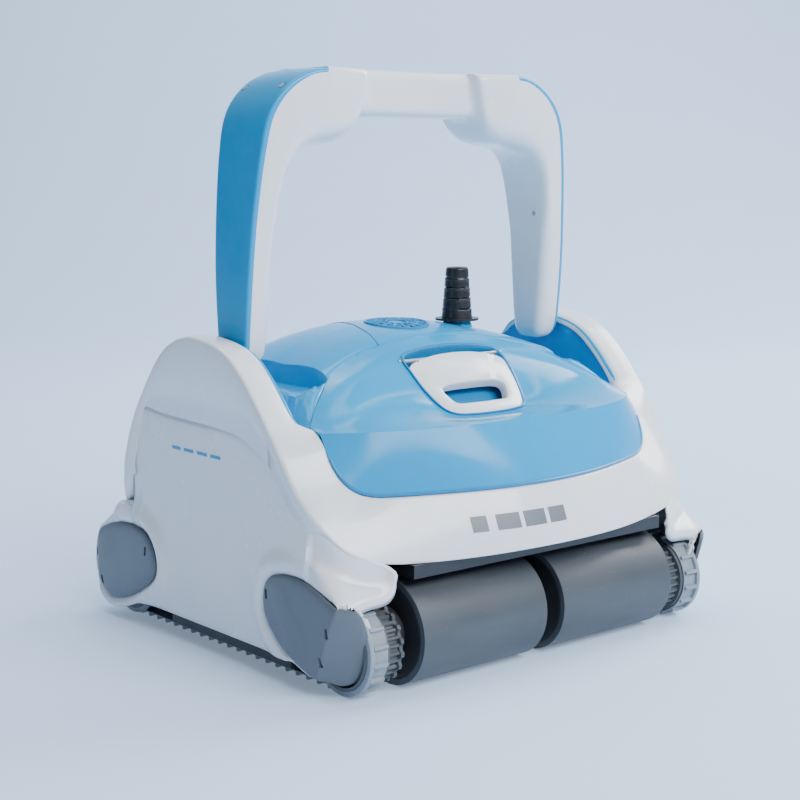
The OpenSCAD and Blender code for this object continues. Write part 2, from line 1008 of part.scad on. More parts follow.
module filter_frame() {
  color(dark)
    difference() {
      block([-130, -102, 20.2], [130, -26, 146]);
      block([-127, -99, 23.2], [127, -29, 148]);
      // windows that the mesh closes
      for (x = [-84, 0, 84])
        block([x - 38, -110, 44], [x + 38, 0, 136]);
      block([-140, -90, 44], [140, -38, 136]);
      for (s = [-1, 1])
        block([s * 62 - 46, -91, 20], [s * 62 + 46, -67, 30]);
    }
}

// fine mesh panels behind the windows
module filter_mesh() {
  color([0.86, 0.88, 0.90]) {
    for (y = [-98.8, -30])
      block([-124, y, 40], [124, y + 0.8, 140]);
    for (x = [-126.8, 126])
      block([x, -94, 40], [x + 0.8, -34, 140]);
  }
}

// ---- carrying handle ----

// side view of the handle
handle_side = concat(
  smooth([[-19, 251], [-22, 268], [-27, 341], [-36, 433], [-39, 462], [-36, 476], [-28, handle_top]]),
  smooth([[22, handle_top], [29, 478], [32, 462], [31, 433], [27, 341], [25, 268], [22, 251]]),
  smooth([[18, 245], [9, 241.5], [-7, 241.5], [-15, 245]]));

// outer edge of the covers, from the top's end to the foot
cover_edge = smooth([[108, handle_top - 0.5], [120, handle_top - 2.5], [132, 479], [143, 473],
  [154, 463.5], [164, 450], [170, 433], [174, 408], [177.5, 380], [leg_out - 0.8, 341],
  [leg_out, 300], [leg_out, 262], [179.5, 249], [172, 241]]);

// border between a cover and the white shell
shell_edge = smooth([[108, handle_top - 5], [119, 479], [130, 475], [140, 469.2], [150, 460.6],
  [158.6, 449], [164.6, 433], [168.8, 408], [172.2, 380], [175.2, 341], [176.6, 300],
  [176.6, 262], [175.2, 249], [168, 241]]);

// inner edge of the shell, from a foot to the grip
inner_edge = smooth([[156, 241], [155.6, 260], [155, 300], [154.4, 341], [152.6, 368],
  [149, 388], [143.5, 403], [135, 413], [121, 419.5], [104, 422], [92, 423], [84, 426],
  [78, 432], [72, 440], [66, 445.5]]);

function reversed(p) = [for (i = [len(p) - 1 : -1 : 0]) p[i]];
function flipped(p) = [for (q = p) [-q[0], q[1]]];

module handle_shell() {
  half = concat(shell_edge, inner_edge);
  color(white)
    difference() {
      intersection() {
        front_prism(concat([[107.9, handle_top - 5], [107.9, handle_top]],
          [[-107.9, handle_top], [-107.9, handle_top - 5]],
          moved(flipped(shell_edge), [0.1, 0]), flipped(inner_edge), reversed(inner_edge),
          reversed(moved(shell_edge, [-0.1, 0]))), -60, 60);
        side_prism(handle_side, -180, 180);
      }
      // the grip is slimmer than the shoulders
      block([-66, -60, 400], [66, -24, 500]);
      block([-66, 16, 400], [66, 60, 500]);
      // hollow legs
      for (s = [-1, 1])
        front_prism([[s * 159, 285], [s * 172, 285], [s * 168.5, 372], [s * 158, 378]], -16, 18);
      // pivot bores
      for (s = [-1, 1])
        bar_x(s * 168 - 9.5, s * 168 + 9.5, pivot_y, pivot_z, 4.06);
      // drain holes in the inner faces
      for (s = [-1, 1])
        bar_x(s * 156 - 10, s * 156 + 10, -12, 360, 2.5);
    }
}

module handle_cover_r() {
  color(sky)
    difference() {
      intersection() {
        front_prism(concat(cover_edge, reversed(shell_edge)), -60, 60);
        side_prism(handle_side, 0, 180);
      }
      bar_x(140, 190, pivot_y, pivot_z, 4.06);
      for (y = [-28, 24])
        translate([145.6, y, 466.8])
          rotate([0, 40, 0])
            cylinder(h = 30, r = 3.2, $fn = 32);
    }
}

module handle_cover_l() {
  right_side()
    handle_cover_r();
}

// foam floats in the legs
module handle_floats() {
  color([0.90, 0.88, 0.80])
    for (s = [-1, 1])
      front_prism([[s * 159.4, 285.4], [s * 171.5, 285.4], [s * 168, 371.6], [s * 158.4, 377]],
        -15.6, 17.6);
}

module handle_pins() {
  color(steel)
    for (m = [0, 1])
      mirror([m, 0, 0])
        bar_x(159, 197.5, pivot_y, pivot_z, 4);
}

module handle_screws() {
  color(steel)
    for (m = [0, 1])
      mirror([m, 0, 0])
        for (y = [-28, 24])
          translate([145.9, y, 467.1])
            rotate([0, 40, 0])
              cylinder(h = 2.6, r = 3, $fn = 32);
}
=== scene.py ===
"""Twin-track pool cleaner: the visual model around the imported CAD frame.

Shapes are written in millimetres on the cleaner's nominal size and scaled by the frame's own
width, so they follow the CAD. The front is -Y.
"""

import json
import math

import bmesh
import bpy
import numpy as np
from mathutils import Matrix, Vector
from mathutils.bvhtree import BVHTree


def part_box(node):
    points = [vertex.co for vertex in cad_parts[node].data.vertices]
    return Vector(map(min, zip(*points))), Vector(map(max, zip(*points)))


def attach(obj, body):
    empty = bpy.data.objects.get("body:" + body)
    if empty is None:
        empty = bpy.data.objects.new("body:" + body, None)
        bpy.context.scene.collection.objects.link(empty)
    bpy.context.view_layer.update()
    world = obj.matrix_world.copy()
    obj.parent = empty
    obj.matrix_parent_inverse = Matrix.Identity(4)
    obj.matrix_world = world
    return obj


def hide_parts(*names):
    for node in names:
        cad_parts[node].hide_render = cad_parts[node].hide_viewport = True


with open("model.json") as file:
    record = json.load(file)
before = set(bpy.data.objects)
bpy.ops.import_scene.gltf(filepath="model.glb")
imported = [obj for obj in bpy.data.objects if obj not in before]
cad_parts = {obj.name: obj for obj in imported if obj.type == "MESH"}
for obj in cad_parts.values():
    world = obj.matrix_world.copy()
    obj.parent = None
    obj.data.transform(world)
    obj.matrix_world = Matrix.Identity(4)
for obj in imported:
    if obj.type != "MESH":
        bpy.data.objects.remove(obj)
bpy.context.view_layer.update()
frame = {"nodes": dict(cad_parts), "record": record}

# ---- the driving sizes in nominal millimetres; those of tracks and boot are the frame's ----
NOMINAL_HALF_WIDTH = 215.0
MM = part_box("top_frame")[1][0] / NOMINAL_HALF_WIDTH  # metres to one nominal millimetre


def node_box(node):
    """A CAD node's corners in nominal millimetres."""
    lo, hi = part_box(node)
    return [c / MM for c in lo], [c / MM for c in hi]


SEAM_Z = 149.8  # the hatch's lower seam, in the middle
CREASE_Z = 199.5  # the crease between the hatch's face and its top, in the middle
HATCH_HALF = 176.3  # half the hatch's width
RIM_GAP = 0.9  # from the hatch to the frame round it
TRACK_BEND = 35.5  # the radius at which the track's length is measured
TRACK_LO, TRACK_HI = node_box("track_r_side")
TRACK_R = TRACK_HI[2] / 2
FRONT_AXLE = -TRACK_LO[1] - TRACK_R
REAR_AXLE = TRACK_HI[1] - TRACK_R
GLAND_LO, GLAND_HI = node_box("cable_gland")
GLAND_X = (GLAND_LO[0] + GLAND_HI[0]) / 2
GLAND_Y = (GLAND_LO[1] + GLAND_HI[1]) / 2
FLIP_X = np.array([-1, 1, 1])


# ---- curves ----

def smooth(points, count):
    """count points, evenly spaced along a smooth curve through the given points."""
    p = np.array(points, float)
    ends = [2 * p[0] - p[1]], [2 * p[-1] - p[-2]]
    p = np.vstack([ends[0], p, ends[1]])
    out = []
    for a, b, c, d in zip(p, p[1:], p[2:], p[3:]):
        k = [0.0]
        for u, v in ((a, b), (b, c), (c, d)):
            k.append(k[-1] + max(np.linalg.norm(v - u), 1e-6) ** 0.5)
        for t in np.linspace(k[1], k[2], 16, endpoint=False):
            ab = a + (b - a) * (t - k[0]) / (k[1] - k[0])
            bc = b + (c - b) * (t - k[1]) / (k[2] - k[1])
            cd = c + (d - c) * (t - k[2]) / (k[3] - k[2])
            abc = ab + (bc - ab) * (t - k[0]) / (k[2] - k[0])
            bcd = bc + (cd - bc) * (t - k[1]) / (k[3] - k[1])
            out.append(abc + (bcd - abc) * (t - k[1]) / (k[2] - k[1]))
    out = np.array(out + [p[-2]])
    s = np.concatenate([[0], np.cumsum(np.linalg.norm(np.diff(out, axis=0), axis=1))])
    at = np.linspace(0, s[-1], count)
    return np.column_stack([np.interp(at, s, out[:, i]) for i in range(out.shape[1])])


def lerp(a, b, t):
    return a + (b - a) * t


def ease(t):
    t = min(max(t, 0.0), 1.0)
    return t * t * (3 - 2 * t)


def around(count):
    """Angles evenly spaced round a circle."""
    return np.linspace(0, 2 * math.pi, count, endpoint=False)


def table_curve(points):
    """A smooth function y(x) through a few points."""
    fine = smooth(points, 400)
    return lambda x: float(np.interp(x, fine[:, 0], fine[:, 1]))


# ---- meshes ----

def add_object(name, data):
    """A new object in the scene."""
    obj = bpy.data.objects.new(name, data)
    bpy.context.scene.collection.objects.link(obj)
    return obj


def finish_mesh(name, bm, material, angle=34, parent_body="root"):
    """A bmesh in nominal millimetres becomes a smooth-shaded object in metres."""
    bmesh.ops.scale(bm, vec=(MM, MM, MM), verts=bm.verts)
    bmesh.ops.recalc_face_normals(bm, faces=bm.faces)
    mesh = bpy.data.meshes.new(name)
    bm.to_mesh(mesh)
    bm.free()
    mesh.shade_smooth()
    mesh.set_sharp_from_angle(angle=math.radians(angle))
    mesh.materials.append(material)
    obj = add_object(name, mesh)
    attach(obj, parent_body)
    return obj


def grid(bm, rows, close_u=False, close_v=False):
    """Quads over rows of points; returns the vertices."""
    verts = [[bm.verts.new(p) for p in row] for row in rows]
    n, m = len(verts), len(verts[0])
    for i in range(n if close_u else n - 1):
        for j in range(m if close_v else m - 1):
            a, b = verts[i][j], verts[(i + 1) % n][j]
            c, d = verts[(i + 1) % n][(j + 1) % m], verts[i][(j + 1) % m]
            bm.faces.new((a, b, c, d))
    return verts


def band(bm, rings):
    """Quads between closed rings of vertices."""
    for a, b in zip(rings, rings[1:]):
        for j in range(len(a)):
            k = (j + 1) % len(a)
            bm.faces.new((a[j], a[k], b[k], b[j]))


def prism(bm, rings):
    """A closed solid through rings of points."""
    verts = [[bm.verts.new(p) for p in ring] for ring in rings]
    band(bm, verts)
    bm.faces.new(verts[0])
    bm.faces.new(verts[-1])


def rod(bm, place, start, end, depth, segments):
    """A capped cone along a placing matrix's own Z."""
    bmesh.ops.create_cone(bm, cap_ends=True, segments=segments, radius1=start, radius2=end,
                          depth=depth, matrix=place)


def slice_at(bm, at, normal, dist):
    """Cuts the faces along a plane."""
    bmesh.ops.bisect_plane(bm, geom=bm.verts[:] + bm.edges[:] + bm.faces[:],
                           plane_co=at, plane_no=normal, dist=dist)


def slice_grid(bm, u_cuts, v_cuts, dist):
    """Cuts a flat outline into a grid."""
    for c in u_cuts:
        slice_at(bm, (c, 0, 0), (1, 0, 0), dist)
    for c in v_cuts:
        slice_at(bm, (0, c, 0), (0, 1, 0), dist)


def fillet(points, radii, steps=4):
    """An open polyline whose inner corners are rounded; every corner gives steps + 1 points."""
    pts = [np.array(p, float) for p in points]
    out = [pts[0]]
    for k in range(1, len(pts) - 1):
        a, b, c = pts[k - 1], pts[k], pts[k + 1]
        la, lc = np.linalg.norm(a - b), np.linalg.norm(c - b)
        r = min(radii[k - 1], la * 0.45, lc * 0.45)
        p, q = b + (a - b) * (r / la), b + (c - b) * (r / lc)
        for i in range(steps + 1):
            t = i / steps
            out.append(p * (1 - t) ** 2 + b * 2 * t * (1 - t) + q * t * t)
    out.append(pts[-1])
    return out


def thicken(obj, mm, offset=-1):
    mod = obj.modifiers.new("wall", "SOLIDIFY")
    mod.thickness = mm * MM
    mod.offset = offset
    return mod


def cut(obj, cutter):
    """Boolean difference, kept in the mesh; the cutter goes."""
    mod = obj.modifiers.new("cut", "BOOLEAN")
    mod.operation = "DIFFERENCE"
    mod.solver = "EXACT"
    mod.object = cutter
    bake(obj)
    bpy.data.objects.remove(cutter)


def bake(obj, angle=34):
    """Applies an object's modifiers to its mesh."""
    deps = bpy.context.evaluated_depsgraph_get()
    mesh = bpy.data.meshes.new_from_object(obj.evaluated_get(deps))
    obj.modifiers.clear()
    old = obj.data
    obj.data = mesh
    bpy.data.meshes.remove(old)
    mesh.shade_smooth()
    mesh.set_sharp_from_angle(angle=math.radians(angle))


def mirrored(obj, name, body="root"):
    """The same piece on the other side."""
    mesh = obj.data.copy()
    mesh.transform(Matrix.Scale(-1, 4, (1, 0, 0)))
    mesh.flip_normals()
    twin = add_object(name, mesh)
    for mod in obj.modifiers:
        wall = twin.modifiers.new(mod.name, mod.type)
        wall.thickness = mod.thickness
        wall.offset = mod.offset
    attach(twin, body)
    return twin


# ---- materials ----

def material(name, color, roughness, *, metallic=0.0, vary=0.03, rough_vary=0.05, scale=60.0,
             bump=0.02, bump_scale=900.0, coat=0.0, speck=None, specular=0.5, streak=None):
    """A moulded, rubber or metal finish: colour drift, roughness drift and a fine surface."""
    mat = bpy.data.materials.new(name)
    mat.use_nodes = True
    nodes, links = mat.node_tree.nodes, mat.node_tree.links
    shader = nodes["Principled BSDF"]
    where = nodes.new("ShaderNodeTexCoord")
    place = where.outputs["Object"]

    def noise(size, detail, vector):
        """Noise over a position; returns its value."""
        node = nodes.new("ShaderNodeTexNoise")
        node.inputs["Scale"].default_value = size
        node.inputs["Detail"].default_value = detail
        links.new(vector, node.inputs["Vector"])
        return node.outputs["Fac"]

    def remap(value, low, high, to_low=0.0, to_high=1.0):
        """Another range of a value."""
        node = nodes.new("ShaderNodeMapRange")
        node.inputs["From Min"].default_value = low
        node.inputs["From Max"].default_value = high
        node.inputs["To Min"].default_value = to_low
        node.inputs["To Max"].default_value = to_high
        links.new(value, node.inputs["Value"])
        return node.outputs["Result"]

    along = place
    if streak:
        stretch = nodes.new("ShaderNodeMapping")
        stretch.inputs["Scale"].default_value = streak
        links.new(place, stretch.inputs["Vector"])
        along = stretch.outputs["Vector"]
    ramp = nodes.new("ShaderNodeValToRGB")
    ramp.color_ramp.elements[0].position = 0.3
    ramp.color_ramp.elements[1].position = 0.7
    ramp.color_ramp.elements[0].color = [c * (1 - vary) for c in color] + [1]
    ramp.color_ramp.elements[1].color = [min(c * (1 + vary), 1) for c in color] + [1]
    links.new(noise(scale, 6, along), ramp.inputs["Fac"])
    out = ramp.outputs["Color"]
    if speck:
        dots = nodes.new("ShaderNodeTexVoronoi")
        dots.inputs["Scale"].default_value = speck[0]
        links.new(place, dots.inputs["Vector"])
        mix = nodes.new("ShaderNodeMix")
        mix.data_type = "RGBA"
        mix.inputs["B"].default_value = list(speck[2]) + [1]
        links.new(remap(dots.outputs["Distance"], speck[1], speck[1] * 0.5), mix.inputs["Factor"])
        links.new(out, mix.inputs["A"])
        out = mix.outputs["Result"]
    links.new(out, shader.inputs["Base Color"])
    rough = remap(noise(scale * 0.35, 8, place), 0.3, 0.7, max(roughness - rough_vary, 0.02),
                  roughness + rough_vary)
    links.new(rough, shader.inputs["Roughness"])
    relief = nodes.new("ShaderNodeBump")
    relief.inputs["Strength"].default_value = bump
    relief.inputs["Distance"].default_value = 0.0004
    links.new(noise(bump_scale, 3, place), relief.inputs["Height"])
    links.new(relief.outputs["Normal"], shader.inputs["Normal"])
    shader.inputs["Metallic"].default_value = metallic
    shader.inputs["Coat Weight"].default_value = coat
    shader.inputs["Coat Roughness"].default_value = 0.03
    shader.inputs["IOR"].default_value = 1.5
    shader.inputs["Specular IOR Level"].default_value = specular
    return mat


WHITE = material("white_gloss", (0.82, 0.84, 0.87), 0.24, vary=0.012, coat=0.25, bump=0.03,
                 bump_scale=420)
BLUE = material("sky_blue_gloss", (0.0, 0.32, 0.64), 0.15, vary=0.02, specular=0.27, bump=0.02,
                bump_scale=380)
# A darker blue. On the hatch's lip and in the latch's well it is painted shade. The outlet's beads and
# the cover's seam line also use it.
BLUE_DARK_AND_SHADE = material("sky_blue_dark_and_painted_shade", (0.0, 0.22, 0.50), 0.30, vary=0.03, specular=0.35, bump=0.05)
GREY = material("mid_grey_satin", (0.125, 0.145, 0.168), 0.36, vary=0.04, bump=0.10,
                bump_scale=1500)
GEAR_GREY = material("gear_grey", (0.085, 0.095, 0.105), 0.42, vary=0.06, bump=0.10)
TRACK = material("track_rubber", (0.25, 0.29, 0.33), 0.50, vary=0.07, bump=0.25,
                 bump_scale=1100, scale=140, speck=(420, 0.10, (0.42, 0.45, 0.47)))
SLEEVE = material("brush_pvc", (0.062, 0.072, 0.084), 0.46, vary=0.12, rough_vary=0.08,
                  bump=0.14, bump_scale=700, scale=45, speck=(150, 0.055, (0.35, 0.37, 0.38)),
                  streak=(0.25, 1.0, 1.0))
DARK = material("dark_plastic", (0.028, 0.030, 0.034), 0.48, vary=0.12, bump=0.12)
BOOT = material("boot_rubber", (0.012, 0.012, 0.014), 0.30, vary=0.15, bump=0.10,
                bump_scale=1300)
STEEL = material("brushed_steel", (0.56, 0.57, 0.58), 0.30, metallic=1.0, vary=0.05,
                 streak=(0.1, 1, 1), scale=400)
BRASS = material("brass", (0.66, 0.46, 0.18), 0.30, metallic=1.0, vary=0.06, scale=200)
CLOTH = material("filter_cloth", (0.62, 0.66, 0.70), 0.85, vary=0.12, scale=900, bump=0.6,
                 bump_scale=2600)
FOAM = material("float_foam", (0.72, 0.68, 0.52), 0.9, vary=0.10, scale=300, bump=0.5,
                bump_scale=1500)
ACETAL = material("acetal", (0.66, 0.66, 0.63), 0.35, vary=0.03)
MARK_GREY = material("mark_grey", (0.16, 0.18, 0.20), 0.35, vary=0.05)
MARK_BLUE = material("mark_blue", (0.0, 0.28, 0.58), 0.35, vary=0.05)

SLOT_FINISH = {
    "white_plastic": WHITE, "blue_plastic": BLUE, "grey_plastic": GREY, "dark_plastic": DARK,
    "grey_rubber": TRACK, "black_rubber": BOOT, "brush_pvc": SLEEVE, "steel": STEEL,
    "brass": BRASS, "filter_cloth": CLOTH, "foam": FOAM, "bearing_plastic": ACETAL,
}
for row in frame["record"]["subparts"]:
    cad = frame["nodes"][row["node"]]
    finish = SLOT_FINISH[row["material_slot"]]
    if row["node"].startswith(("wheel_f", "wheel_r", "idler_gear")):
        finish = GEAR_GREY
    if row["node"].startswith("hood_"):
        finish = BOOT
    cad.data.materials.clear()
    cad.data.materials.append(finish)


# ---- the hatch's surface, which the frame and the cover follow ----

def face_low(x):
    """The hatch's lower seam in plan."""
    t = x / 200
    return -190.0 + 80.5 * t ** 2 - 20.5 * t ** 4


def face_crease(x):
    """The crease between the hatch's face and its top, in plan."""
    t = x / 200
    return -164.7 + 23.9 * t ** 2 + 54.1 * t ** 4


def corner_z(x):
    """The hatch's lower boundary, with its rounded corners."""
    a = min(max((abs(x) - 130) / (HATCH_HALF - 130), 0), 1)
    return SEAM_Z + 30 * (1 - math.sqrt(max(1 - a ** 4, 0)))


SEAM_FALL = table_curve([(0, 257.5), (30, 256.4), (60, 253), (90, 247), (120, 237.5),
                         (150, 221.5), (177, 201), (190, 191)])
SEAM_BACK = table_curve([(0, -38), (60, -42.5), (90, -48.5), (120, -60), (150, -79), (177, -101.5),
                         (190, -113)])


def rear_seam(x):
    """The seam between the hatch and the rear cover: its place along the body and its height."""
    return SEAM_BACK(abs(x)), SEAM_FALL(abs(x))


TOP_RISE = table_curve([(0, 0), (0.15, 0.02), (0.29, 0.062), (0.417, 0.15), (0.543, 0.33),
                        (0.709, 0.665), (0.85, 0.87), (1, 1)])


def crease_z(x):
    """Height of the crease."""
    return CREASE_Z - 1.5 * (x / 200) ** 2


def hatch_point(x, w):
    """The hatch's skin: w is 0 at the lower seam, 1 at the crease, 2 at the rear seam."""
    if w <= 1:
        bow = 1.6 * math.sin(math.pi * w)
        return Vector((x, lerp(face_low(x), face_crease(x), w) - bow,
                       lerp(SEAM_Z, crease_z(x), w)))
    s = w - 1
    y1, z1 = rear_seam(x)
    y0, z0 = face_crease(x), crease_z(x)
    side = (abs(x) / HATCH_HALF) ** 2.2
    rise = lerp(TOP_RISE(s), s, side)
    y, z = lerp(y0, y1, s), lerp(z0, z1, rise)
    hollow = 6.5 * math.exp(-((y + 117) / 22) ** 2 - (x / 62) ** 4) * ease(s / 0.2)
    return Vector((x, y, z - hollow))


def hatch_w(z, x=HATCH_HALF):
    """The w of the hatch's side edge at a height."""
    crease = crease_z(x)
    if z <= crease:
        return (z - SEAM_Z) / (crease - SEAM_Z)
    return 1 + (z - crease) / (rear_seam(x)[1] - crease)


def rim_point(x, z=None):
    """The frame's edge just outside the hatch: along the bottom by x, up the side by z."""
    if z is None:
        p = hatch_point(x, hatch_w(corner_z(x), x))
        q = hatch_point(x + 0.5, hatch_w(corner_z(x + 0.5), x + 0.5))
    else:
        p, q = hatch_point(HATCH_HALF, hatch_w(z)), hatch_point(HATCH_HALF, hatch_w(z + 0.5))
    along = (q - p).normalized()
    skin = Vector((0, -0.9, 0.43)) if z is None or z < 196 else Vector((0, -0.64, 0.77))
    out = along.cross(skin).normalized()
    if out.x < 0 and z is not None:
        out = -out
    if z is None and out.z > 0:
        out = -out
    return p + out * RIM_GAP


# ---- white top frame: arches, front panel and rear panel in one moulding ----

ARCH = [(-101, 198.5), (-85, 218), (-67, 237), (-48, 252.5), (-30, 260.5), (-5, 265), (18, 266),
        (44, 258), (61, 246), (94, 206), (110, 181), (123, 151)]


def frame_stations():
    """(outer crease, inner rim, end of the return) from the front's middle to the rear's."""
    rows = []
    lip = [(0, -209.6, 101.3, 0), (40, -206.7, 100.9, 38), (80, -198.8, 100, 76),
           (120, -187.8, 99.8, 112), (150, -179.2, 101, 134), (175, -173.5, 105.5, 147),
           (190, -167, 113, 156), (199.5, -157.5, 124, 163)]
    for x, y, z, rim_x in lip:
        rows.append([(x, y, z), rim_point(rim_x), (x * 0.985, y + 12, z + 2.5)])
    side = [(205.6, -146.5, 136.5, 169.5, None), (209.4, -134, 150, 173.8, None),
            (212, -122.5, 165, 176.3, 178), (213.4, -112, 181.5, 176.3, 190),
            (214.4, -101, 198.5, 176.3, 200.4)]
    seam = {136.5: (206, -138, 124), 150: (208, -127, 133), 165: (210, -116, 146),
            181.5: (211.5, -106, 160), 198.5: (212, -96, 172)}
    for x, y, z, rim_x, rim_z in side:
        rows.append([(x, y, z), rim_point(rim_x, rim_z), seam[z]])
    rim_x = table_curve([(-101, 178), (-98.5, 181), (-95, 186.5), (-91, 188.6), (-40, 189), (60, 189),
                         (70, 188), (80, 180), (90, 178), (123, 177)])
    low = table_curve([(-107, 168), (-100, 172), (-86, 179), (-60, 191), (-30, 195), (0, 196),
                       (60, 198), (86, 200.5), (123, 199)])
    for y, z in smooth(ARCH, 40)[1:]:
        bottom = low(y) if y < 88 else 200 - (y - 88) * 1.75
        back = y if y < 88 else 88 + (y - 88) * 0.68
        rows.append([(min(214.4 + (y + 107) * 0.02, 215) - max(y - 95, 0) * 0.03, y, z),
                     (rim_x(y), y, z - 0.6), (213, min(back, 108), bottom)])
    for x, y, z, ix, iy, iz in [
            (213, 127, 130, 175, 134, 146), (210, 131, 117, 168, 144, 146),
            (203, 140, 108, 156, 153, 147), (190, 153, 103, 142, 161, 148),
            (172, 167, 101, 126, 168, 148), (148, 180, 100.5, 108, 174, 148.4),
            (118, 190, 100.3, 84, 181, 148.4), (80, 200, 100.6, 56, 186, 148.4),
            (40, 206.7, 101, 28, 189, 148.4), (0, 209, 101.3, 0, 190, 148.4)]:
        rows.append([(x, y, z), (ix, iy, iz), (x * 0.985, y - 12, z + 2.5)])
    return rows


def build_top_frame():
    """One closed loop of sections: panel, arch, panel, arch."""
    flat = [[c for p in row for c in p] for row in frame_stations()]
    half = smooth(flat, 150)
    half[0, [0, 3, 6]] = 0
    half[-1, [0, 3, 6]] = 0
    sections = []
    for s in half:
        outer, inner, back = s[0:3], s[3:6], s[6:9]
        across = outer - inner
        run = np.array([across[1], across[2]])
        mid = (outer + inner) / 2
        centre = np.array([mid[0] * 0.25, 0, 120])
        up = mid - centre
        up /= np.linalg.norm(up)
        crown = mid + up * 1.6
        sink = inner - up * 9 - across / np.linalg.norm(across) * 0.5
        sections.append(fillet([sink, inner, crown, outer, back], [1.7, 14, 3.6]))
    other = [[p * FLIP_X for p in row] for row in reversed(sections[1:-1])]
    bm = bmesh.new()
    grid(bm, sections + other, close_u=True)
    obj = finish_mesh("top_frame_shell", bm, WHITE)
    thicken(obj, 2.4)
    return obj


# ---- blue hatch ----

def hatch_xs(reach, count):
    """Places across the hatch, closer together near its sides."""
    return [HATCH_HALF * math.sin(math.pi / 2 * t) for t in np.linspace(-reach, reach, count)]


def build_hatch():
    """A flat outline in (x, w), cut into a grid and laid on the hatch's skin."""
    outline = [(x, hatch_w(corner_z(x), x)) for x in hatch_xs(1, 121)]
    outline += [(HATCH_HALF, 2.0), (-HATCH_HALF, 2.0)]
    w_cuts = list(np.linspace(0.06, 0.94, 12)) + [0.97, 1.0, 1.035]
    w_cuts += list(np.linspace(1.06, 1.95, 34)) + [1.985]
    bm = bmesh.new()
    bm.faces.new([bm.verts.new((x, w, 0)) for x, w in outline])
    slice_grid(bm, hatch_xs(0.98, 89), w_cuts, 1e-4)
    bmesh.ops.remove_doubles(bm, verts=bm.verts, dist=0.02)
    for v in bm.verts:
        v.co = hatch_point(v.co.x, v.co.y)
    obj = finish_mesh("hatch_shell", bm, BLUE, parent_body="hatch")
    thicken(obj, 3.0)
    bake(obj, 50)
    return obj


# ---- blue rear cover ----

COVER_SPINE = table_curve([(-90, 226), (-60, 248), (-38, 257), (-20, 262), (0, 265), (20, 266.2),
                           (60, 263), (100, 250.5), (138, 228), (166, 200), (184, 164),
                           (190, 149.8)])


REAR_REACH = table_curve([(0, 189.6), (28, 188.6), (56, 185.6), (84, 180.4), (108, 173.6), (126, 167.4),
                          (142, 160.2), (156, 152), (168, 142), (176, 131), (190, 118)])
ARCH_AT = table_curve(ARCH)


def cover_z(x, y):
    """The rear cover's dome, without the handle's channels."""
    ys, zs = rear_seam(x)
    ahead = COVER_SPINE(ys) - zs
    crown = 24.4 * (abs(x) / 127) ** 2.2
    q = min(max((y - 60) / (REAR_REACH(abs(x)) - 60), 0), 1)
    spine = COVER_SPINE(y if y < 60 else 60 + 129.6 * q)
    z = spine - lerp(ahead, crown, ease((y - ys) / 70)) * (1 - q * q)
    beside = ease((abs(x) - 158) / 16) if y > 40 else 0
    return lerp(z, min(z, ARCH_AT(y) - 1.2), beside)


def build_rear_cover():
    """The dome with the handle's channels at its sides, whose walls rise to the arches."""
    rim, floor = 184.6, 223.0
    rows = []
    for t in np.linspace(0, 1, 96):
        side_y = lerp(rear_seam(176)[0] + 0.5, REAR_REACH(176), t)
        half = lerp(176.0, rim, ease((side_y + 99) / 6) if side_y < 0 else 1 - ease((side_y - 60) / 14))
        row = []
        channel = (133, 135, 138, 147, 156, 165, half - 8, half - 1.9, half - 1.2, half - 0.6, half)
        for x in list(np.linspace(0, 131, 44)) + list(channel):
            y = lerp(rear_seam(x)[0] + 0.5, REAR_REACH(x), t)
            z = cover_z(x, y)
            # the channel runs beside the handle's leg and fades out behind it
            depth = ease((y + 70) / 8) if y < 0 else 1 - ease((y - 52) / 30)
            if x > 131:
                z = lerp(z, min(floor, z), depth * ease((x - 131) / 4.0))
                wall = 1 - ease((half - x) / 1.9)
                tall = ease((y + 98) / 8) if y < 0 else depth
                z = lerp(z, max(ARCH_AT(y) - 3, z), tall * wall)
            row.append(np.array([x, y, z]))
        rows.append(row)
    full = []
    for row in rows:
        left = [p * FLIP_X for p in reversed(row[1:])]
        full.append(left + row)
    # rolled front edge at the seam
    first = [p + np.array([0, 0.0, -9.0]) for p in full[0]]
    first_round = [p + np.array([0, 0.0, -1.2]) for p in full[0]]
    full[0] = [p + np.array([0, 1.0, 0.0]) for p in full[0]]
    last = [p + np.array([0, -0.6, -3.0]) for p in full[-1]]
    bm = bmesh.new()
    grid(bm, [first, first_round] + full + [last])
    obj = finish_mesh("rear_cover_shell", bm, BLUE)
    if sum(f.normal.z > 0 for f in obj.data.polygons) * 2 < len(obj.data.polygons):
        obj.data.flip_normals()
    thicken(obj, 2.4)
    return obj


top_frame = build_top_frame()
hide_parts("top_frame")
hatch = build_hatch()
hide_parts("hatch")
cover = build_rear_cover()
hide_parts("rear_cover")


# ---- carrying handle ----

def side_section(inner, outer, front, rear, radius, steps=7):
    """A section of the white handle: open towards the outside, rounded inside."""
    inner, outer = np.array([inner[0], 0, inner[1]]), np.array([outer[0], 0, outer[1]])
    span = np.linalg.norm(outer - inner)
    axis = (outer - inner) / span
    r = min(radius, (rear + front) * 0.5, span * 0.72)
    points = [outer + (0, -front, 0)]
    for k in range(steps + 1):
        t = math.pi / 2 * k / steps
        points.append(inner + axis * r * (1 - math.sin(t)) + (0, -front + r * (1 - math.cos(t)), 0))
    for k in range(steps + 1):
        t = math.pi / 2 * k / steps
        points.append(inner + axis * r * (1 - math.cos(t)) + (0, rear - r * (1 - math.sin(t)), 0))
    points.append(outer + (0, rear, 0))
    return points


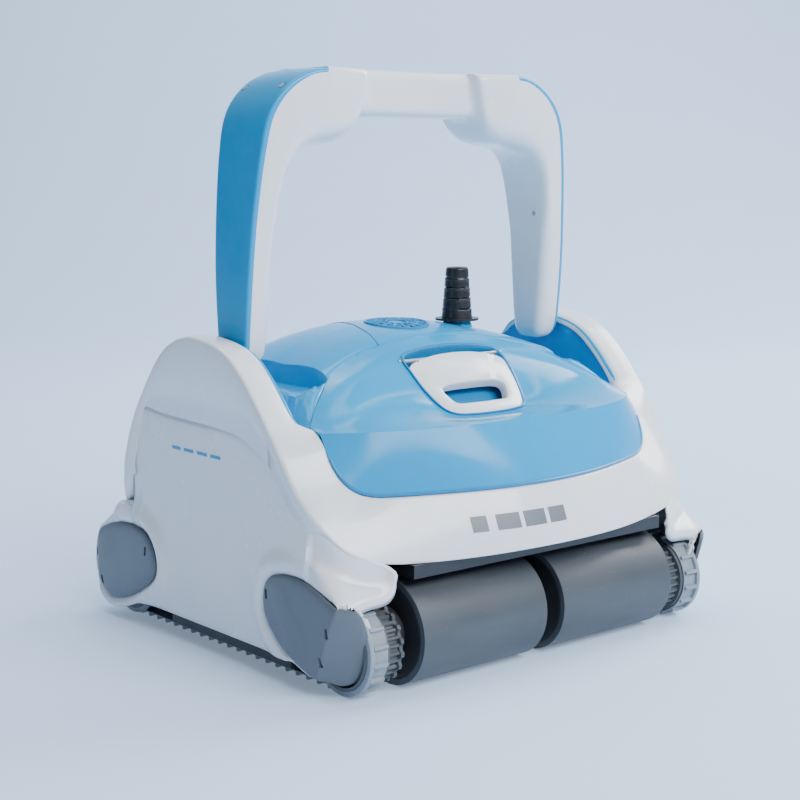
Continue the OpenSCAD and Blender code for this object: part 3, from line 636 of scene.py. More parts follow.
def top_fillet(points, radius):
    """Rounds the two outer corners of a section, where no cover sits."""
    a, b = points[0], points[-1]
    down_a, down_b = points[1] - a, points[-2] - b
    down_a, down_b = down_a / np.linalg.norm(down_a), down_b / np.linalg.norm(down_b)
    across = (b - a) / np.linalg.norm(b - a)
    out_a, out_b = [], []
    for k in range(6):
        t = math.pi / 2 * k / 5
        out_a.append(a + down_a * radius * (1 - math.sin(t)) + across * radius * (1 - math.cos(t)))
        out_b.append(b + down_b * radius * (1 - math.sin(t)) - across * radius * (1 - math.cos(t)))
    return list(reversed(out_a)) + points[1:-1] + out_b


GRIP = [  # inner x, inner z, outer x, outer z, front, rear, corner radius
    (0, 445.5, 0, 485, 23, 14, 11), (40, 445.5, 40, 485, 23, 14, 11),
    (57, 445.5, 56, 485, 23, 14, 11), (62, 445.3, 58.5, 485, 23.3, 14.2, 12),
    (67, 443.5, 60, 485, 25.5, 16.5, 14), (71, 439, 61, 485, 31.5, 22, 18),
    (74, 434.5, 62.5, 485, 34.6, 26.5, 21), (78.5, 429.5, 67, 485, 36, 29, 23),
    (85, 425.3, 75, 485, 36.8, 30, 24), (94, 423, 90, 485, 38, 31, 24),
    (103, 422, 107.6, 485, 38.8, 31, 24)]
LEG = [
    (103.3, 422, 108, 480.6, 38.8, 31, 24), (112, 420.8, 119, 479.2, 38.6, 31, 23),
    (122, 418.6, 130, 475, 38.2, 31, 21), (131, 414.5, 139.8, 469.2, 37.7, 31, 19),
    (138, 409, 149.5, 461, 37, 30.8, 17), (144, 401, 157.8, 450, 36, 30.4, 15),
    (148, 391, 163.3, 437, 35, 29.8, 13), (151.3, 377, 167.5, 416, 33.4, 29, 12),
    (153.4, 360, 171, 390, 31.2, 27.8, 11), (154.4, 341, 174.2, 355, 28.3, 26.2, 10.5),
    (154.9, 318, 176, 322, 26, 25, 10), (155.2, 298, 176.6, 299, 24, 23.8, 10),
    (155.6, 275, 176.8, 275, 21.6, 22.4, 10), (156, 258, 176.6, 258, 19.6, 21, 10),
    (157, 249.5, 175.6, 249.5, 17.4, 19, 9), (159.6, 244, 173, 244, 13.8, 15, 7),
    (163.2, 241.6, 169.8, 241.6, 9, 10, 3)]
EDGE = [
    (108.2, 484.6), (119.7, 483), (131.6, 478.9), (142.4, 473), (153.2, 463.9), (162.8, 451.5),
    (168.6, 437.5), (172.6, 416), (175.9, 390), (179, 355), (180.7, 322), (181.3, 299),
    (181.3, 275), (181, 258), (179.6, 249.5), (176.2, 244), (172, 241.6)]


def handle_sections():
    """Sections of the shell, from the middle of the grip down the right leg."""
    rows = []
    for a, b, c, d, f, r, rad in smooth(GRIP, 46):
        half = side_section((a, b), (c, d), f, r, rad)
        rows.append(top_fillet(half, 7.5 - 4.5 * ease((a - 70) / 34)))
    for a, b, c, d, f, r, rad in smooth(LEG, 84):
        half = side_section((a, b), (c, d), f, r, rad)
        rows.append(top_fillet(half, 0.6))
    return rows


def build_handle_shell():
    rows = handle_sections()
    left = [[p * FLIP_X for p in row] for row in reversed(rows[1:])]
    bm = bmesh.new()
    verts = grid(bm, left + rows, close_v=True)
    for end in (verts[0], verts[-1]):
        bm.faces.new(end)
    obj = finish_mesh("handle_shell_body", bm, WHITE, angle=42, parent_body="handle")
    bm = bmesh.new()
    for s in (-1, 1):
        turn = Matrix.Translation((s * 156, -12, 360)) @ Matrix.Rotation(math.pi / 2, 4, "Y")
        rod(bm, turn, 2.5, 2.5, 14, 32)
    cut(obj, finish_mesh("drain_drill", bm, WHITE, parent_body="handle"))
    return obj


def build_handle_cover():
    """The blue cover of the right leg."""
    stations = [row + edge for row, edge in zip(LEG, EDGE)]
    rows = []
    for a, b, c, d, f, r, rad, ex, ez in smooth(stations, 84):
        base, tip = np.array([c, 0, d]), np.array([ex, 0, ez])
        out = (tip - base) / np.linalg.norm(tip - base)
        lift = np.linalg.norm(tip - base)
        low, high = base + out * (lift - 1.6), base + out * (lift - 0.5)
        line = [base + (0, -f, 0), base + (0, -f - 0.35, 0), low + (0, -f + 0.2, 0),
                high + (0, -f + 1.7, 0)]
        for t in (0.18, 0.4, 0.6, 0.82):
            bow = 0.9 * math.sin(math.pi * t)
            line.append(base + out * (lift - 0.5 + bow) + (0, lerp(-f + 1.7, r - 1.7, t), 0))
        line += [high + (0, r - 1.7, 0), low + (0, r - 0.2, 0), base + (0, r + 0.35, 0),
                 base + (0, r, 0)]
        rows.append(fillet(line, [0.2, 1.2, 1.4] + [9] * 4 + [1.4, 1.2, 0.2], 3))
    bm = bmesh.new()
    verts = grid(bm, rows, close_v=True)
    for end in (verts[0], verts[-1]):
        bm.faces.new(end)
    obj = finish_mesh("handle_cover_right", bm, BLUE, angle=50, parent_body="handle")
    bm = bmesh.new()
    for y in (-28, 24):
        turn = Matrix.Translation((146.4, y, 467.6)) @ Matrix.Rotation(math.radians(40), 4, "Y")
        rod(bm, turn @ Matrix.Translation((0, 0, 4.5)), 3.5, 4.2, 9, 40)
    cut(obj, finish_mesh("screw_drill", bm, BLUE, parent_body="handle"))
    return obj


shell = build_handle_shell()
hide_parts("handle_shell")
cover_right = build_handle_cover()
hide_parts("handle_cover_r")
cover_left = mirrored(cover_right, "handle_cover_left", "handle")
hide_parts("handle_cover_l")


# ---- side panels, with their fenders ----

FRONT_LEAF = [(-82, 62), (-82.4, 70), (-85, 78.5), (-92, 85.2), (-104, 89.2), (-119, 91),
              (-134, 90.6), (-148, 87.4), (-162, 82.8), (-177, 77.5), (-183, 60), (-181, 36),
              (-174, 17), (-160, 14.6), (-146, 16.2), (-125, 22.3), (-106, 31.2), (-93, 42),
              (-85, 52)]
REAR_DISC = [(80.5, 54), (80.3, 66), (86, 78), (96, 86.5), (112, 90.6), (128, 90.6), (146, 88),
             (164, 82.6), (177, 76), (185, 64), (189, 48), (184, 35), (172, 24.5), (158, 17.5),
             (140, 19.5), (122, 25.5), (103, 35.5), (88, 45)]


def closed(points, count):
    """A smooth closed outline: one turn of a curve that overruns it at both ends."""
    fine = smooth(points[-3:] + points + points[:3], 900)
    away = np.linalg.norm(fine - np.array(points[0]), axis=1)
    i = int(np.argmin(away[:450]))
    j = 450 + int(np.argmin(away[450:]))
    return smooth(fine[i:j + 1:4], count + 1)[:-1]


LEAF_LINE = closed(FRONT_LEAF, 96)
DISC_LINE = closed(REAR_DISC, 96)


def outside_line(line, y, z):
    """Distance outside a closed outline; negative inside it."""
    a, b = line, np.roll(line, -1, axis=0)
    d = b - a
    q = np.array([y, z])
    t = np.clip(((q - a) * d).sum(1) / (d * d).sum(1), 0, 1)
    gap = np.linalg.norm(q - a - d * t[:, None], axis=1).min()
    cross = ((a[:, 1] > z) != (b[:, 1] > z)) & (
        y < (b[:, 0] - a[:, 0]) * (z - a[:, 1]) / (b[:, 1] - a[:, 1] + 1e-9) + a[:, 0])
    return -gap if cross.sum() % 2 else gap


def outside(y, z):
    """Distance outside the nearer wheel cover."""
    return outside_line(LEAF_LINE if y < 0 else DISC_LINE, y, z)


def side_x(y, z):
    """How far out the side panel's skin stands."""
    d = outside(y, z)
    base = 207.6 + 4.6 * ease((z - 96) / 100)
    swell = 4.6 * math.exp(-((d - 8) / 8) ** 2)
    return behind_cover(base + swell, d)


def behind_cover(x, d):
    """The panel draws in at a wheel cover and passes behind it."""
    if d >= 5:
        return x
    if d >= 0:
        return lerp(min(x, 209.0), x, ease(d / 5))
    return min(x, lerp(209.0, 203.0, min(1, -d / 4)))


# along the body: the fender's top seam, its inner wall and its roof, and the panel's hems
SEAM = table_curve([(-184, 98), (-176, 105), (-168, 113), (-160, 121), (-151, 128.5), (-143, 134.5),
                    (-134, 140.5), (-127, 146.5), (-118, 155), (-109, 165.5), (-104, 171.5)])
INNER = table_curve([(-184, 158), (-178, 163), (-172, 176), (-166, 188), (-158, 197),
                     (-148, 202.5), (-136, 206), (-122, 208.6), (-100, 211)])
ROOF = table_curve([(-184, 80), (-180, 84.5), (-174, 88.5), (-162, 94), (-146, 99.5),
                    (-130, 102.5), (-112, 104), (-90, 104)])
HEM_FRONT = table_curve([(-184, 72), (-176, 60), (-166, 40), (-156, 22), (-140, 17), (-120, 22),
                         (-100, 22.5)])
HEM_REAR = table_curve([(100, 23), (110, 21), (125, 16), (140, 12.5), (158, 11), (170, 16),
                        (180, 27), (188, 44)])
TOP_EDGE = table_curve([(-104, 171.5), (-100, 175), (-86, 182.5), (-60, 193.5), (-30, 196.2),
                        (0, 196), (60, 197.8), (86, 200.4)])


def panel_section(y, count=46):
    """The panel's skin at a station along the body, from its top seam down."""
    f = -abs(y)
    if abs(y) <= 104:
        top = TOP_EDGE(min(y, 86)) if y < 86 else lerp(200.4, 192, (y - 86) / 18)
        heights = np.linspace(top, 22.5, count)
        line = [np.array([side_x(y, z), y, z]) for z in heights]
        line[0] = line[0] - (0.8, 0, 0)
        return line
    seam = SEAM(f) if y < 0 else table_rear(y)
    inner, roof = INNER(f), ROOF(f)
    out = 211.8
    low = HEM_FRONT(y) if y < 0 else HEM_REAR(y)
    if f < -176:
        out = lerp(211.8, 207.5, ease((-176 - f) / 8))
    pts = [(inner - 1.5, seam), (inner, seam - 3), (inner + 0.4, max(roof + 8, lerp(seam, roof, 0.72))),
           (min(inner + 7, 209), roof + 1.2), (lerp(inner, out, 0.62), roof - 1.5),
           (out - 2.2, roof - 8.5), (out, roof - 16), (210.5, roof - 24), (209, roof - 34),
           (208.4, min(52, roof - 40)), (208, low)]
    if inner > 205:
        pts = [(inner - 1.5, seam), (inner - 0.4, seam - 4), (209.4, lerp(seam, roof, 0.6)),
               (210.4, roof + 6), (211.6, roof - 2), (out, roof - 9), (211.2, roof - 16),
               (210, roof - 24), (209, roof - 34), (208.4, min(52, roof - 40)), (208, low)]
    flat = smooth(pts, count)
    # further back the roof melts into the plain side
    k = ease((-f - 104) / 26)
    rows = []
    for i, (x, z) in enumerate(flat):
        zz = lerp(lerp(seam, low, i / (count - 1)), z, k)
        plain = side_x(y, zz)
        xx = lerp(plain, x, k) if z > roof - 14 else max(lerp(plain, x, k), min(plain, 213))
        xx = behind_cover(xx, outside(y, zz))
        fold = -155 - 0.415 * (zz - 21) - y
        if fold > -3 and zz < 77:
            xx = min(xx, 202 - 1.1 * (fold + 3) + 60 * ease((zz - 74.5) / 5))
        rows.append(np.array([xx, y, zz]))
    return rows


REAR_SEAM_LINE = table_curve([(86, 200.4), (100, 180), (107, 167), (111, 156), (112.5, 138),
                              (113, 126)])


def table_rear(y):
    """The seam behind: it drops to the rear foot of the arch and then follows the fender."""
    if y < 111:
        return REAR_SEAM_LINE(y)
    return max(lerp(156, 115, ease((y - 111) / 5)), ROOF(-y) + 4) if y < 116 else ROOF(-y) + 8


def build_side_panel():
    ys = [-184, -183.2, -182] + list(np.linspace(-180, -104, 46)) + list(np.linspace(-100, 100, 70))
    ys += list(np.linspace(104, 180, 46)) + [182, 183.2, 184]
    rows = [panel_section(y) for y in ys]
    # the fenders' ends roll under
    for i, s in ((0, -1), (-1, 1)):
        rows[i] = [p + np.array([-1.2, -s * 0.5, -3.0]) for p in rows[i]]
    first = [p + np.array([-1.5, 2.5, -4.5]) for p in rows[0]]
    last = [p + np.array([-1.5, -2.5, -4.5]) for p in rows[-1]]
    bm = bmesh.new()
    grid(bm, [first] + rows + [last])
    obj = finish_mesh("side_panel_right", bm, WHITE, angle=60)
    thicken(obj, 2.2)
    return obj


panel_right = build_side_panel()
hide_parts("side_panel_r")
panel_left = mirrored(panel_right, "side_panel_left")
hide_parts("side_panel_l")


# ---- wheel covers ----

def wheel_cover(name, line, bend, bend_angle, slots, pad=None):
    """A grey cover: a flat plate with a soft crown, its outer end folded round the wheel."""
    fold = math.radians(bend_angle)
    bend_y, bend_lean = bend
    sign = -1 if bend_y < 0 else 1
    centre = line.mean(axis=0)

    def skin(y, z):
        d = -outside_line(line, y, z)
        crown = 1.3 * (1 - math.exp(-max(d, 0) / 7)) + 0.5 * ease(d / 30)
        edge = -1.4 * math.exp(-max(d, 0) / 1.1)
        x = 210.9 + crown + edge
        if pad:
            (py, pz), (ly, lz), half = pad
            t = np.clip((y - py) * ly + (z - pz) * lz, 0, half[0])
            off = math.hypot(y - py - ly * t, z - pz - lz * t)
            x += 0.45 * (1 - ease((off - half[1]) / 1.6))
        u = sign * y - sign * (bend_y + bend_lean * (z - 21))
        if u <= -1.5:
            return Vector((x, y, z))
        # the fold starts just ahead of the crease and ends just after it
        r = 3 / fold
        a = min((u + 1.5) / r, fold)
        along = r * math.sin(a) + max(u - 1.5, 0) * math.cos(fold)
        inward = r * (1 - math.cos(a)) + max(u - 1.5, 0) * math.sin(fold)
        yy = y - sign * (u + 1.5) + sign * along
        return Vector((x - inward, yy, z))

    ys = list(np.arange(min(line[:, 0]) + 2, max(line[:, 0]), 3.0))
    creases = [(bend_y + bend_lean * 30 + k) for k in (-1.5, -0.7, 0, 0.7, 1.5)]
    zs = list(np.arange(min(line[:, 1]) + 2, max(line[:, 1]), 3.0))
    rings = [[(y, z) for y, z in line]]
    for k in (0.985, 0.955):
        rings.append([(lerp(centre[0], y, k), lerp(centre[1], z, k)) for y, z in line])
    bm = bmesh.new()
    verts = [[bm.verts.new((y, z, 0)) for y, z in ring] for ring in rings]
    band(bm, verts)
    bm.faces.new(verts[-1])
    slice_grid(bm, ys, zs, 1e-3)
    for c in creases:
        slice_at(bm, (c, 51, 0), (1, -bend_lean, 0), 1e-3)
    bmesh.ops.remove_doubles(bm, verts=bm.verts, dist=0.05)
    for v in bm.verts:
        v.co = skin(v.co.x, v.co.y)
    obj = finish_mesh(name, bm, GREY, angle=40)
    thicken(obj, 2.6)
    bake(obj, 40)
    bm = bmesh.new()
    for y, z, turn in slots:
        p = skin(y, z)
        q = skin(y + sign * 1.0, z)
        lean = math.atan2(p.x - q.x, abs(q.y - p.y))
        place = (Matrix.Translation(p) @ Matrix.Rotation(sign * -lean, 4, "Z")
                 @ Matrix.Rotation(math.radians(turn), 4, "X"))
        ends = []
        for depth in (-4, 4):
            ring = []
            for k in range(24):
                a = 2 * math.pi * (k + 0.5) / 24
                shift = 2.6 if k < 12 else -2.6
                ring.append(place @ Vector((depth, 1.6 * math.cos(a), 1.6 * math.sin(a) + shift)))
            ends.append(ring)
        prism(bm, ends)
    cut(obj, finish_mesh(name + "_drill", bm, DARK))
    return obj


FRONT_FLAT = closed(FRONT_LEAF[:9] + [(-178, 77), (-193, 74.5), (-197.5, 60), (-196, 38),
                                      (-187, 19), (-172, 11.5)] + FRONT_LEAF[13:], 110)
COVERS = {"f": wheel_cover("wheel_cover_front_right", FRONT_FLAT, (-155, -0.415), 44,
                           [(-88.4, 70.7, -8), (-167.5, 56, -6), (-158.5, 31.5, 4)],
                           pad=((-107, 71), (-0.62, -0.785), (42, 9))),
          "r": wheel_cover("wheel_cover_rear_right", DISC_LINE, (176, 0), 14,
                           [(94, 71, 6), (178.5, 56, 0), (170.5, 31, -10)])}
for end, right in COVERS.items():
    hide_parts("wheel_cover_%sr" % end)
    left = mirrored(right, right.name.replace("right", "left"))
    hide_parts("wheel_cover_%sl" % end)


# ---- tracks ----

LUG_COUNT = 60


def loop_at(distance, radius):
    """A point of the track's loop, its outward normal included."""
    run, arc = FRONT_AXLE + REAR_AXLE, math.pi * TRACK_BEND
    total = 2 * (run + arc)
    d = distance % total
    if d < run:
        return (-FRONT_AXLE + d, TRACK_R - radius), (0, -1)
    d -= run
    if d < arc:
        a = -math.pi / 2 + d / TRACK_BEND
        return ((REAR_AXLE + radius * math.cos(a), TRACK_R + radius * math.sin(a)),
                (math.cos(a), math.sin(a)))
    d -= arc
    if d < run:
        return (REAR_AXLE - d, TRACK_R + radius), (0, 1)
    a = math.pi / 2 + (d - run) / TRACK_BEND
    return ((-FRONT_AXLE + radius * math.cos(a), TRACK_R + radius * math.sin(a)),
            (math.cos(a), math.sin(a)))


def build_track():
    """The right track: belt, lugs outside, drive teeth inside, and rims at the wheels."""
    x0, x1 = TRACK_LO[0], TRACK_HI[0]
    total = 2 * (FRONT_AXLE + REAR_AXLE + math.pi * TRACK_BEND)
    rim = x1 - 4.2
    profile = fillet([(x0 + 2, 32.9), (x0, 32.9), (x0, 34.2), (rim, 34.2), (rim, 32.9),
                      (rim - 2, 32.9)], [0.4, 0.4, 0.4, 0.4], 3)
    rows = []
    for k in range(480):
        row = []
        for x, r in profile:
            (y, z), _ = loop_at(total * k / 480, r)
            row.append((x, y, z))
        rows.append(row)
    bm = bmesh.new()
    grid(bm, rows, close_u=True, close_v=True)
    for k in range(LUG_COUNT):
        at = total * (k + 0.5) / LUG_COUNT
        ring = []
        for side in (-1, 1):
            for r, wide in ((33.8, 1.9), (36.4, 1.6), (36.95, 1.1)):
                (y, z), _ = loop_at(at + side * wide, r)
                ring.append((y, z))
        order = [ring[0], ring[1], ring[2], ring[5], ring[4], ring[3]]
        ends = []
        for x, shrink in ((x0 + 1.0, 0.8), (x0 + 1.8, 1), (rim, 1)):
            c = np.mean(order, axis=0)
            ends.append([(x, c[0] + (y - c[0]) * shrink, c[1] + (z - c[1]) * shrink)
                         for y, z in order])
        prism(bm, ends)
    # drive teeth inside the loop
    for k in range(LUG_COUNT * 2):
        at = total * k / (LUG_COUNT * 2)
        ring = []
        for r, wide in ((33.9, 1.9), (32.6, 1.2)):
            for side in (-1, 1):
                ring.append(loop_at(at + side * wide, r)[0])
        order = [ring[0], ring[1], ring[3], ring[2]]
        prism(bm, [[(x, y, z) for y, z in order] for x in (x0 + 0.8, x0 + 5)])
    # smooth rims beside the lugs, at the wheels
    for y in (-FRONT_AXLE, REAR_AXLE):
        ring = fillet([(x1, 30), (rim, 30), (rim, 36.9), (x1 - 0.6, 36.9), (x1, 36.3), (x1, 30)],
                      [0.3, 0.9, 0.4, 0.3], 3)[:-1]
        turn = [[(x, y + r * math.cos(a), TRACK_R + r * math.sin(a)) for x, r in ring]
                for a in around(96)]
        grid(bm, turn, close_u=True, close_v=True)
    return finish_mesh("track_right", bm, TRACK, angle=38)


track_right = build_track()
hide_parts("track_r_side")
track_left = mirrored(track_right, "track_left")
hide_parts("track_l")


# ---- hatch latch and its well ----

TILT = math.radians(43)
LATCH_AT = Vector((0, -68, 240.5))


def on_latch(x, y, z):
    """A point in the latch's own tilted frame."""
    return LATCH_AT + Vector((x, y * math.cos(TILT) - z * math.sin(TILT),
                              y * math.sin(TILT) + z * math.cos(TILT)))


def skin_height(x, y):
    """Height of the hatch's top at a place."""
    y0, y1 = face_crease(x), rear_seam(x)[0]
    return hatch_point(x, 1 + min(max((y - y0) / (y1 - y0), 0), 1)).z


def local_skin(x, y):
    """The hatch's skin in the latch's frame."""
    lo, hi = -15.0, 25.0
    for _ in range(24):
        mid = (lo + hi) / 2
        p = on_latch(x, y, mid)
        if p.z < skin_height(p.x, p.y):
            lo = mid
        else:
            hi = mid
    return (lo + hi) / 2


def whole_outline(half, count, centre_y, grow):
    """Both sides of an outline given by its right half, grown away from a centre."""
    line = smooth(half, count // 2 + 1)
    full = np.vstack([line, (line * (-1, 1))[-2:0:-1]])
    out = full - np.array([0, centre_y])
    return full + out / np.linalg.norm(out, axis=1)[:, None] * grow


def plate_outline(count, grow=0.0, rear=0.0):
    """The latch's outline: an arched rear, sides that draw in to a narrower front."""
    half = [(0, 1.2 + rear), (20, 0.3 + rear), (40, -3 + rear), (50, -6.4 + rear),
            (54, -10 + rear * 0.7), (54.6, -14 + rear * 0.4), (52.4, -30), (49.6, -42),
            (46.6, -51.5), (42.6, -59.5), (36, -64.4), (20, -66.6), (0, -67)]
    return whole_outline(half, count, -33, grow)


def slot_outline(count, grow=0.0):
    """The opening in the latch that a hand lifts it by."""
    half = [(0, -32.5), (18, -33), (29, -34), (34, -36.6), (34.4, -40), (32.2, -46.5),
            (29.6, -51.4), (25, -53.6), (14, -54), (0, -54)]
    return whole_outline(half, count, -43, grow)


def build_latch():
    n = 120
    rows = []

    def camber(x):
        return -2.8 * (abs(x) / 55) ** 2

    for outline, grow, z in ((plate_outline, -1.0, -3.0), (plate_outline, 0, -2.2),
                             (plate_outline, 0, 4.6), (plate_outline, -0.35, 5.5),
                             (plate_outline, -1.3, 6.0), (slot_outline, 2.6, 6.0),
                             (slot_outline, 1.1, 5.5), (slot_outline, 0.35, 4.3),
                             (slot_outline, 0, 2.5), (slot_outline, -0.5, -3.0)):
        rows.append([on_latch(x, y, z + (camber(x) if z > 0 else 0)) for x, y in outline(n, grow)])
    bm = bmesh.new()
    grid(bm, rows, close_v=True)
    bm.verts.ensure_lookup_table()
    first = bm.verts[:n]
    last = bm.verts[len(bm.verts) - n:]
    for j in range(n):
        bm.faces.new((first[j], last[j], last[(j + 1) % n], first[(j + 1) % n]))
    obj = finish_mesh("latch_plate", bm, WHITE, angle=36, parent_body="latch")
    bm = bmesh.new()
    for s in (-1, 1):
        bmesh.ops.create_cube(bm, size=1, matrix=Matrix.Translation(on_latch(s * 42, -2.6, 3))
                              @ Matrix.Rotation(TILT, 4, "X") @ Matrix.Diagonal((2.0, 5, 9, 1)))
    cut(obj, finish_mesh("notch_drill", bm, WHITE, parent_body="latch"))
    return obj


def build_well(hatch_obj):
    """Cuts the latch's well into the hatch and lines it in darker blue, which is painted shade in the
    recess.
    """
    n = 96
    rim = plate_outline(n, 1.1, rear=11)
    bm = bmesh.new()
    prism(bm, [[on_latch(x, y, z) for x, y in rim] for z in (-14, 26)])
    cut(hatch_obj, finish_mesh("well_cutter", bm, BLUE, parent_body="hatch"))
    rows = []
    for step, depth in ((1.3, 0.15), (0.4, 0.05), (0.0, -0.9)):
        rows.append([on_latch(x, y, local_skin(x, y) + depth)
                     for x, y in plate_outline(n, 1.1 + step, rear=11)])
    rows.append([on_latch(x, y, -10) for x, y in plate_outline(n, 0.6, rear=9)])
    rows.append([on_latch(x, y, -13) for x, y in plate_outline(n, -1.5, rear=7.5)])
    bm = bmesh.new()
    verts = grid(bm, rows, close_v=True)
    bm.faces.new(verts[-1])
    # The lining's darker blue is painted shade in the recess.
    obj = finish_mesh("latch_well", bm, BLUE_DARK_AND_SHADE, angle=36, parent_body="hatch")
    thicken(obj, 1.6, 1)
    return obj


latch = build_latch()
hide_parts("latch_handle")
well = build_well(hatch)
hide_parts("hatch")


# ---- cable boot ----

def build_boot():
    """The tapered boot: staggered rings cut by curved slots."""
    z0, z1 = GLAND_LO[2], GLAND_HI[2]
    rows = []
    angles = [2 * math.pi * k / 72 for k in range(72)]
    for t in np.linspace(0, 1, 90):
        row = []
        for a in angles:
            r = lerp(14.3, 10.2, t ** 0.9)
            for band in range(4):
                at = 0.2 + band * 0.2 + 0.012 * math.sin(a + band * 1.9)
                r -= 1.3 * math.exp(-((t - at) / 0.012) ** 2) * (
                    1 if math.cos(a + band * 1.9) > -0.55 else 0.25)
                r += 0.35 * math.exp(-((t - at + 0.035) / 0.02) ** 2)
            if t > 0.97:
                r -= (t - 0.97) * 40
            row.append((GLAND_X + r * math.cos(a), GLAND_Y + r * math.sin(a), lerp(z0, z1, t)))
        rows.append(row)
    bore = [[(GLAND_X + 5 * math.cos(a), GLAND_Y + 5 * math.sin(a), z) for a in angles]
            for z in (z1, z0 + 2)]
    bm = bmesh.new()
    grid(bm, rows + bore, close_v=True)
    return finish_mesh("cable_boot", bm, BOOT, angle=40)


def swept(name, path, radius, mat, body="root", closed_path=False):
    """A thin round bead along a path."""
    rows = []
    pts = [Vector(p) for p in path]
    behind = (pts[-1:] if closed_path else pts[:1]) + pts[:-1]
    ahead = pts[1:] + (pts[:1] if closed_path else pts[-1:])
    for a, p, b in zip(behind, pts, ahead):
        along = (b - a).normalized()
        side = along.cross(Vector((0.02, -0.3, 1))).normalized()
        up = side.cross(along)
        rows.append([p + (side * math.cos(t) + up * math.sin(t)) * radius
                     for t in around(8)])
    bm = bmesh.new()
    verts = grid(bm, rows, close_u=closed_path, close_v=True)
    if not closed_path:
        bm.faces.new(verts[0])
        bm.faces.new(verts[-1])
    return finish_mesh(name, bm, mat, parent_body=body)


def build_outlet():
    """The round outlet: three beads and short radial bars, lying on the dome."""
    lo, hi = node_box("outlet_grille")
    cx, cy, reach = (lo[0] + hi[0]) / 2, (lo[1] + hi[1]) / 2, (hi[0] - lo[0]) / 2
    parts = []
    for share, bead, tag in ((0.97, 1.5, "outer"), (0.66, 1.1, "middle"), (0.34, 1.1, "inner")):
        path = [(cx + reach * share * math.cos(t), cy + reach * share * math.sin(t))
                for t in around(72)]
        line = [(x, y, cover_z(abs(x), y) + 0.2) for x, y in path]
        parts.append(swept("outlet_bead_" + tag, line, bead, BLUE_DARK_AND_SHADE, closed_path=True))
    for k in range(16):
        a = 2 * math.pi * k / 16
        line = []
        for share in np.linspace(0.42, 0.9, 5):
            x, y = cx + reach * share * math.cos(a), cy + reach * share * math.sin(a)
            line.append((x, y, cover_z(abs(x), y) + 0.3))
        parts.append(swept("outlet_bar_%02d" % k, line, 1.2, BLUE_DARK_AND_SHADE))
    return parts


for bead in build_outlet():
    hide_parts("outlet_grille")


def build_boss():
    """The blue socket the boot stands in."""
    top = node_box("gland_seat")[1][2] - 2.2
    base = cover_z(abs(GLAND_X), GLAND_Y) - 4
    rows = []
    for r, z in ((14.6, base), (13.8, base + 4.5), (12.4, top - 0.8), (11.6, top - 0.1),
                 (10.9, top - 0.1)):
        rows.append([(GLAND_X + r * math.cos(t), GLAND_Y + r * math.sin(t), z)
                     for t in around(48)])
    bm = bmesh.new()
    grid(bm, rows, close_v=True)
    return finish_mesh("gland_boss", bm, BLUE)


boss = build_boss()
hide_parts("rear_cover")

seam_line = smooth([(-59, -42), (-52, -22), (-44, 4), (-34, 32), (-28, 60), (-32, 88)], 30)
seam = swept("cover_seam", [(x, y, cover_z(abs(x), y) + 0.1) for x, y in seam_line], 0.45, BLUE_DARK_AND_SHADE)
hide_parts("rear_cover")

# A darker blue bead along the hatch's lower edge: painted shade on its rounded lip and in the gap below
# it.
lip_line = [hatch_point(x * 0.994, hatch_w(corner_z(x), x) + 0.022) + Vector((0, 0.25, -0.1))
            for x in hatch_xs(0.985, 121)]
lip = swept("hatch_lip", lip_line, 1.35, BLUE_DARK_AND_SHADE, body="hatch")
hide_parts("hatch")


# ---- hinge pins, plain printed bars and the last pieces ----

def printed(name, target, bars, axis, mat):
    """Flat bars laid on a piece's skin, seen along an axis (0 from the left, 1 from the front)."""
    deps = bpy.context.evaluated_depsgraph_get()
    tree = BVHTree.FromObject(target, deps)
    bm = bmesh.new()
    for lo_u, hi_u, lo_z, hi_z in bars:
        rows = []
        for u in np.linspace(lo_u, hi_u, 10):
            row = []
            for z in np.linspace(lo_z, hi_z, 4):
                start, aim = ((-240, u, z), (1, 0, 0)) if axis == 0 else ((u, -240, z), (0, 1, 0))
                hit = tree.ray_cast(Vector(start) * MM, Vector(aim))[0] / MM
                row.append(hit - Vector(aim) * 0.12)
            rows.append(row)
        grid(bm, rows)
    return finish_mesh(name, bm, mat)


def build_pins():
    """The hatch's two hinge pins, thin rods just behind its lower seam."""
    bm = bmesh.new()
    for x in (-30, 30):
        turn = Matrix.Translation((x, -186.5, 147)) @ Matrix.Rotation(math.pi / 2, 4, "Y")
        rod(bm, turn, 0.5, 0.5, 28, 16)
    return finish_mesh("hinge_pins", bm, STEEL)


pins = build_pins()
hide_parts("hatch_pins")

front_bars = printed("front_bars", top_frame, [(-84, -70, 119, 131), (-62, -40, 119, 131),
                                               (-36, -14, 119, 131), (-10, 8, 119, 131)], 1, MARK_GREY)
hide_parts("top_frame")
side_bars = printed("side_bars", panel_left, [(-27, -12, 169, 172), (-7, 8, 169, 172),
                                              (13, 28, 169, 172), (33, 46, 169, 172)], 0, MARK_BLUE)
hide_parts("side_panel_l")

boot = build_boot()
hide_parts("cable_gland")


# ---- studio ----

AZIMUTH = math.radians(-39.84)
ELEVATION = math.radians(8.32)
DISTANCE = 1.4608
AIM = Vector((0, 0, 0.1954))


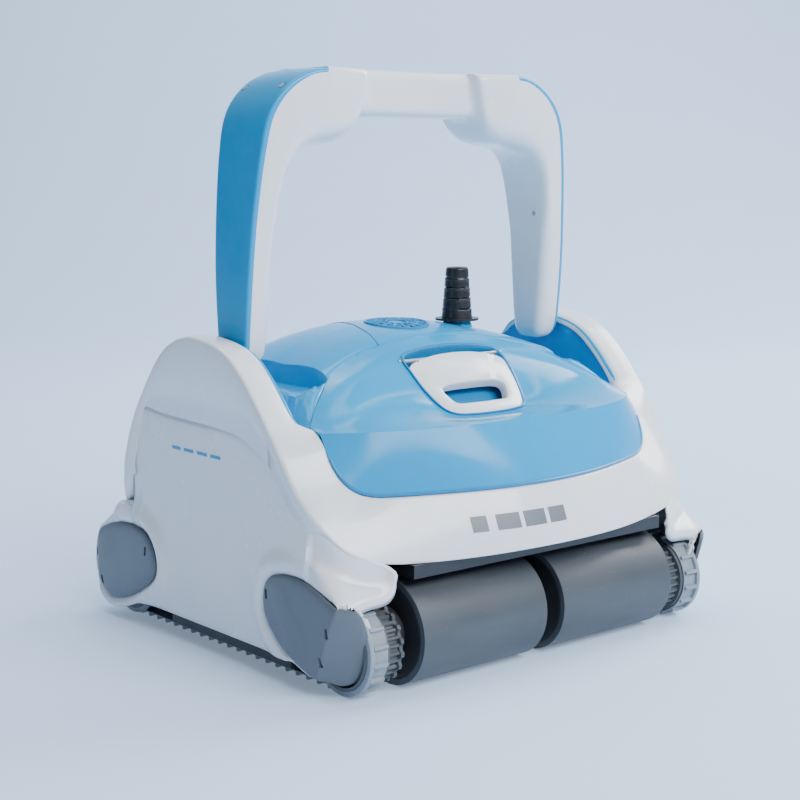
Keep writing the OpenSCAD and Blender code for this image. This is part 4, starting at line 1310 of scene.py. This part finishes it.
def studio():
    """A pale floor that curves up into a backdrop, soft lights and the camera."""
    bm = bmesh.new()
    profile = [(-4.5, 0.0), (2.2, 0.0)]
    for k in range(1, 13):
        a = math.radians(90 * k / 12)
        profile.append((2.2 + 1.6 * math.sin(a), 1.6 * (1 - math.cos(a))))
    profile.append((3.8, 6.0))
    turn = Matrix.Rotation(AZIMUTH, 4, "Z")
    rows = [[turn @ Vector((x, y, z)) for y, z in profile] for x in np.linspace(-7, 7, 8)]
    grid(bm, rows)
    mesh = bpy.data.meshes.new("studio_floor")
    bmesh.ops.recalc_face_normals(bm, faces=bm.faces)
    bm.to_mesh(mesh)
    bm.free()
    mesh.shade_smooth()
    mesh.materials.append(material("studio_paper", (0.52, 0.68, 0.90), 0.75, vary=0.01,
                                   specular=0.15, scale=4))
    paper = mesh.materials[0].node_tree.nodes["Principled BSDF"]
    paper.inputs["Emission Color"].default_value = (0.62, 0.76, 0.95, 1)
    paper.inputs["Emission Strength"].default_value = 0.30
    floor = add_object("studio_floor", mesh)

    def area(name, place, size, watts, color, look_at=(0, 0, 0.2)):
        data = bpy.data.lights.new(name, "AREA")
        data.shape = "RECTANGLE"
        data.size, data.size_y = size
        data.energy = watts
        data.color = color
        lamp = add_object(name, data)
        lamp.location = place
        lamp.rotation_euler = (Vector(look_at) - Vector(place)).to_track_quat("-Z", "Y").to_euler()

    area("key_front", (0.17, -1.95, 1.62), (2.2, 0.95), 78, (0.97, 0.985, 1.0))
    area("key_right", (2.6, -0.2, 1.8), (1.4, 1.4), 70, (0.97, 0.985, 1.0))
    area("backdrop_wash", tuple(turn @ Vector((0.9, 1.3, 2.5))), (3.2, 0.6), 80, (0.93, 0.97, 1.0),
         look_at=tuple(turn @ Vector((0.9, 3.3, 0.9))))
    area("top_soft", (0.2, 0.7, 2.8), (2.2, 1.8), 42, (0.95, 0.98, 1.0))
    world = bpy.data.worlds.new("studio_air")
    world.use_nodes = True
    air = world.node_tree
    where, split = air.nodes.new("ShaderNodeTexCoord"), air.nodes.new("ShaderNodeSeparateXYZ")
    ramp = air.nodes.new("ShaderNodeValToRGB")
    ramp.color_ramp.elements[0].position = 0.0
    ramp.color_ramp.elements[0].color = (0.10, 0.13, 0.18, 1)
    ramp.color_ramp.elements[1].position = 0.85
    ramp.color_ramp.elements[1].color = (0.72, 0.80, 0.92, 1)
    spread = air.nodes.new("ShaderNodeMapRange")
    spread.inputs["From Min"].default_value = -1
    air.links.new(where.outputs["Generated"], split.inputs["Vector"])
    air.links.new(split.outputs["X"], spread.inputs["Value"])
    air.links.new(spread.outputs["Result"], ramp.inputs["Fac"])
    air.links.new(ramp.outputs["Color"], air.nodes["Background"].inputs["Color"])
    air.nodes["Background"].inputs["Strength"].default_value = 0.62
    bpy.context.scene.world = world

    lens = bpy.data.cameras.new("camera")
    lens.lens = 72.94
    lens.sensor_width = 36
    lens.clip_end = 60
    camera = add_object("camera", lens)
    back = Vector((math.sin(AZIMUTH) * math.cos(ELEVATION),
                   -math.cos(AZIMUTH) * math.cos(ELEVATION), math.sin(ELEVATION)))
    camera.location = AIM + back * DISTANCE
    camera.rotation_euler = (-back).to_track_quat("-Z", "Y").to_euler()
    bpy.context.scene.camera = camera


studio()
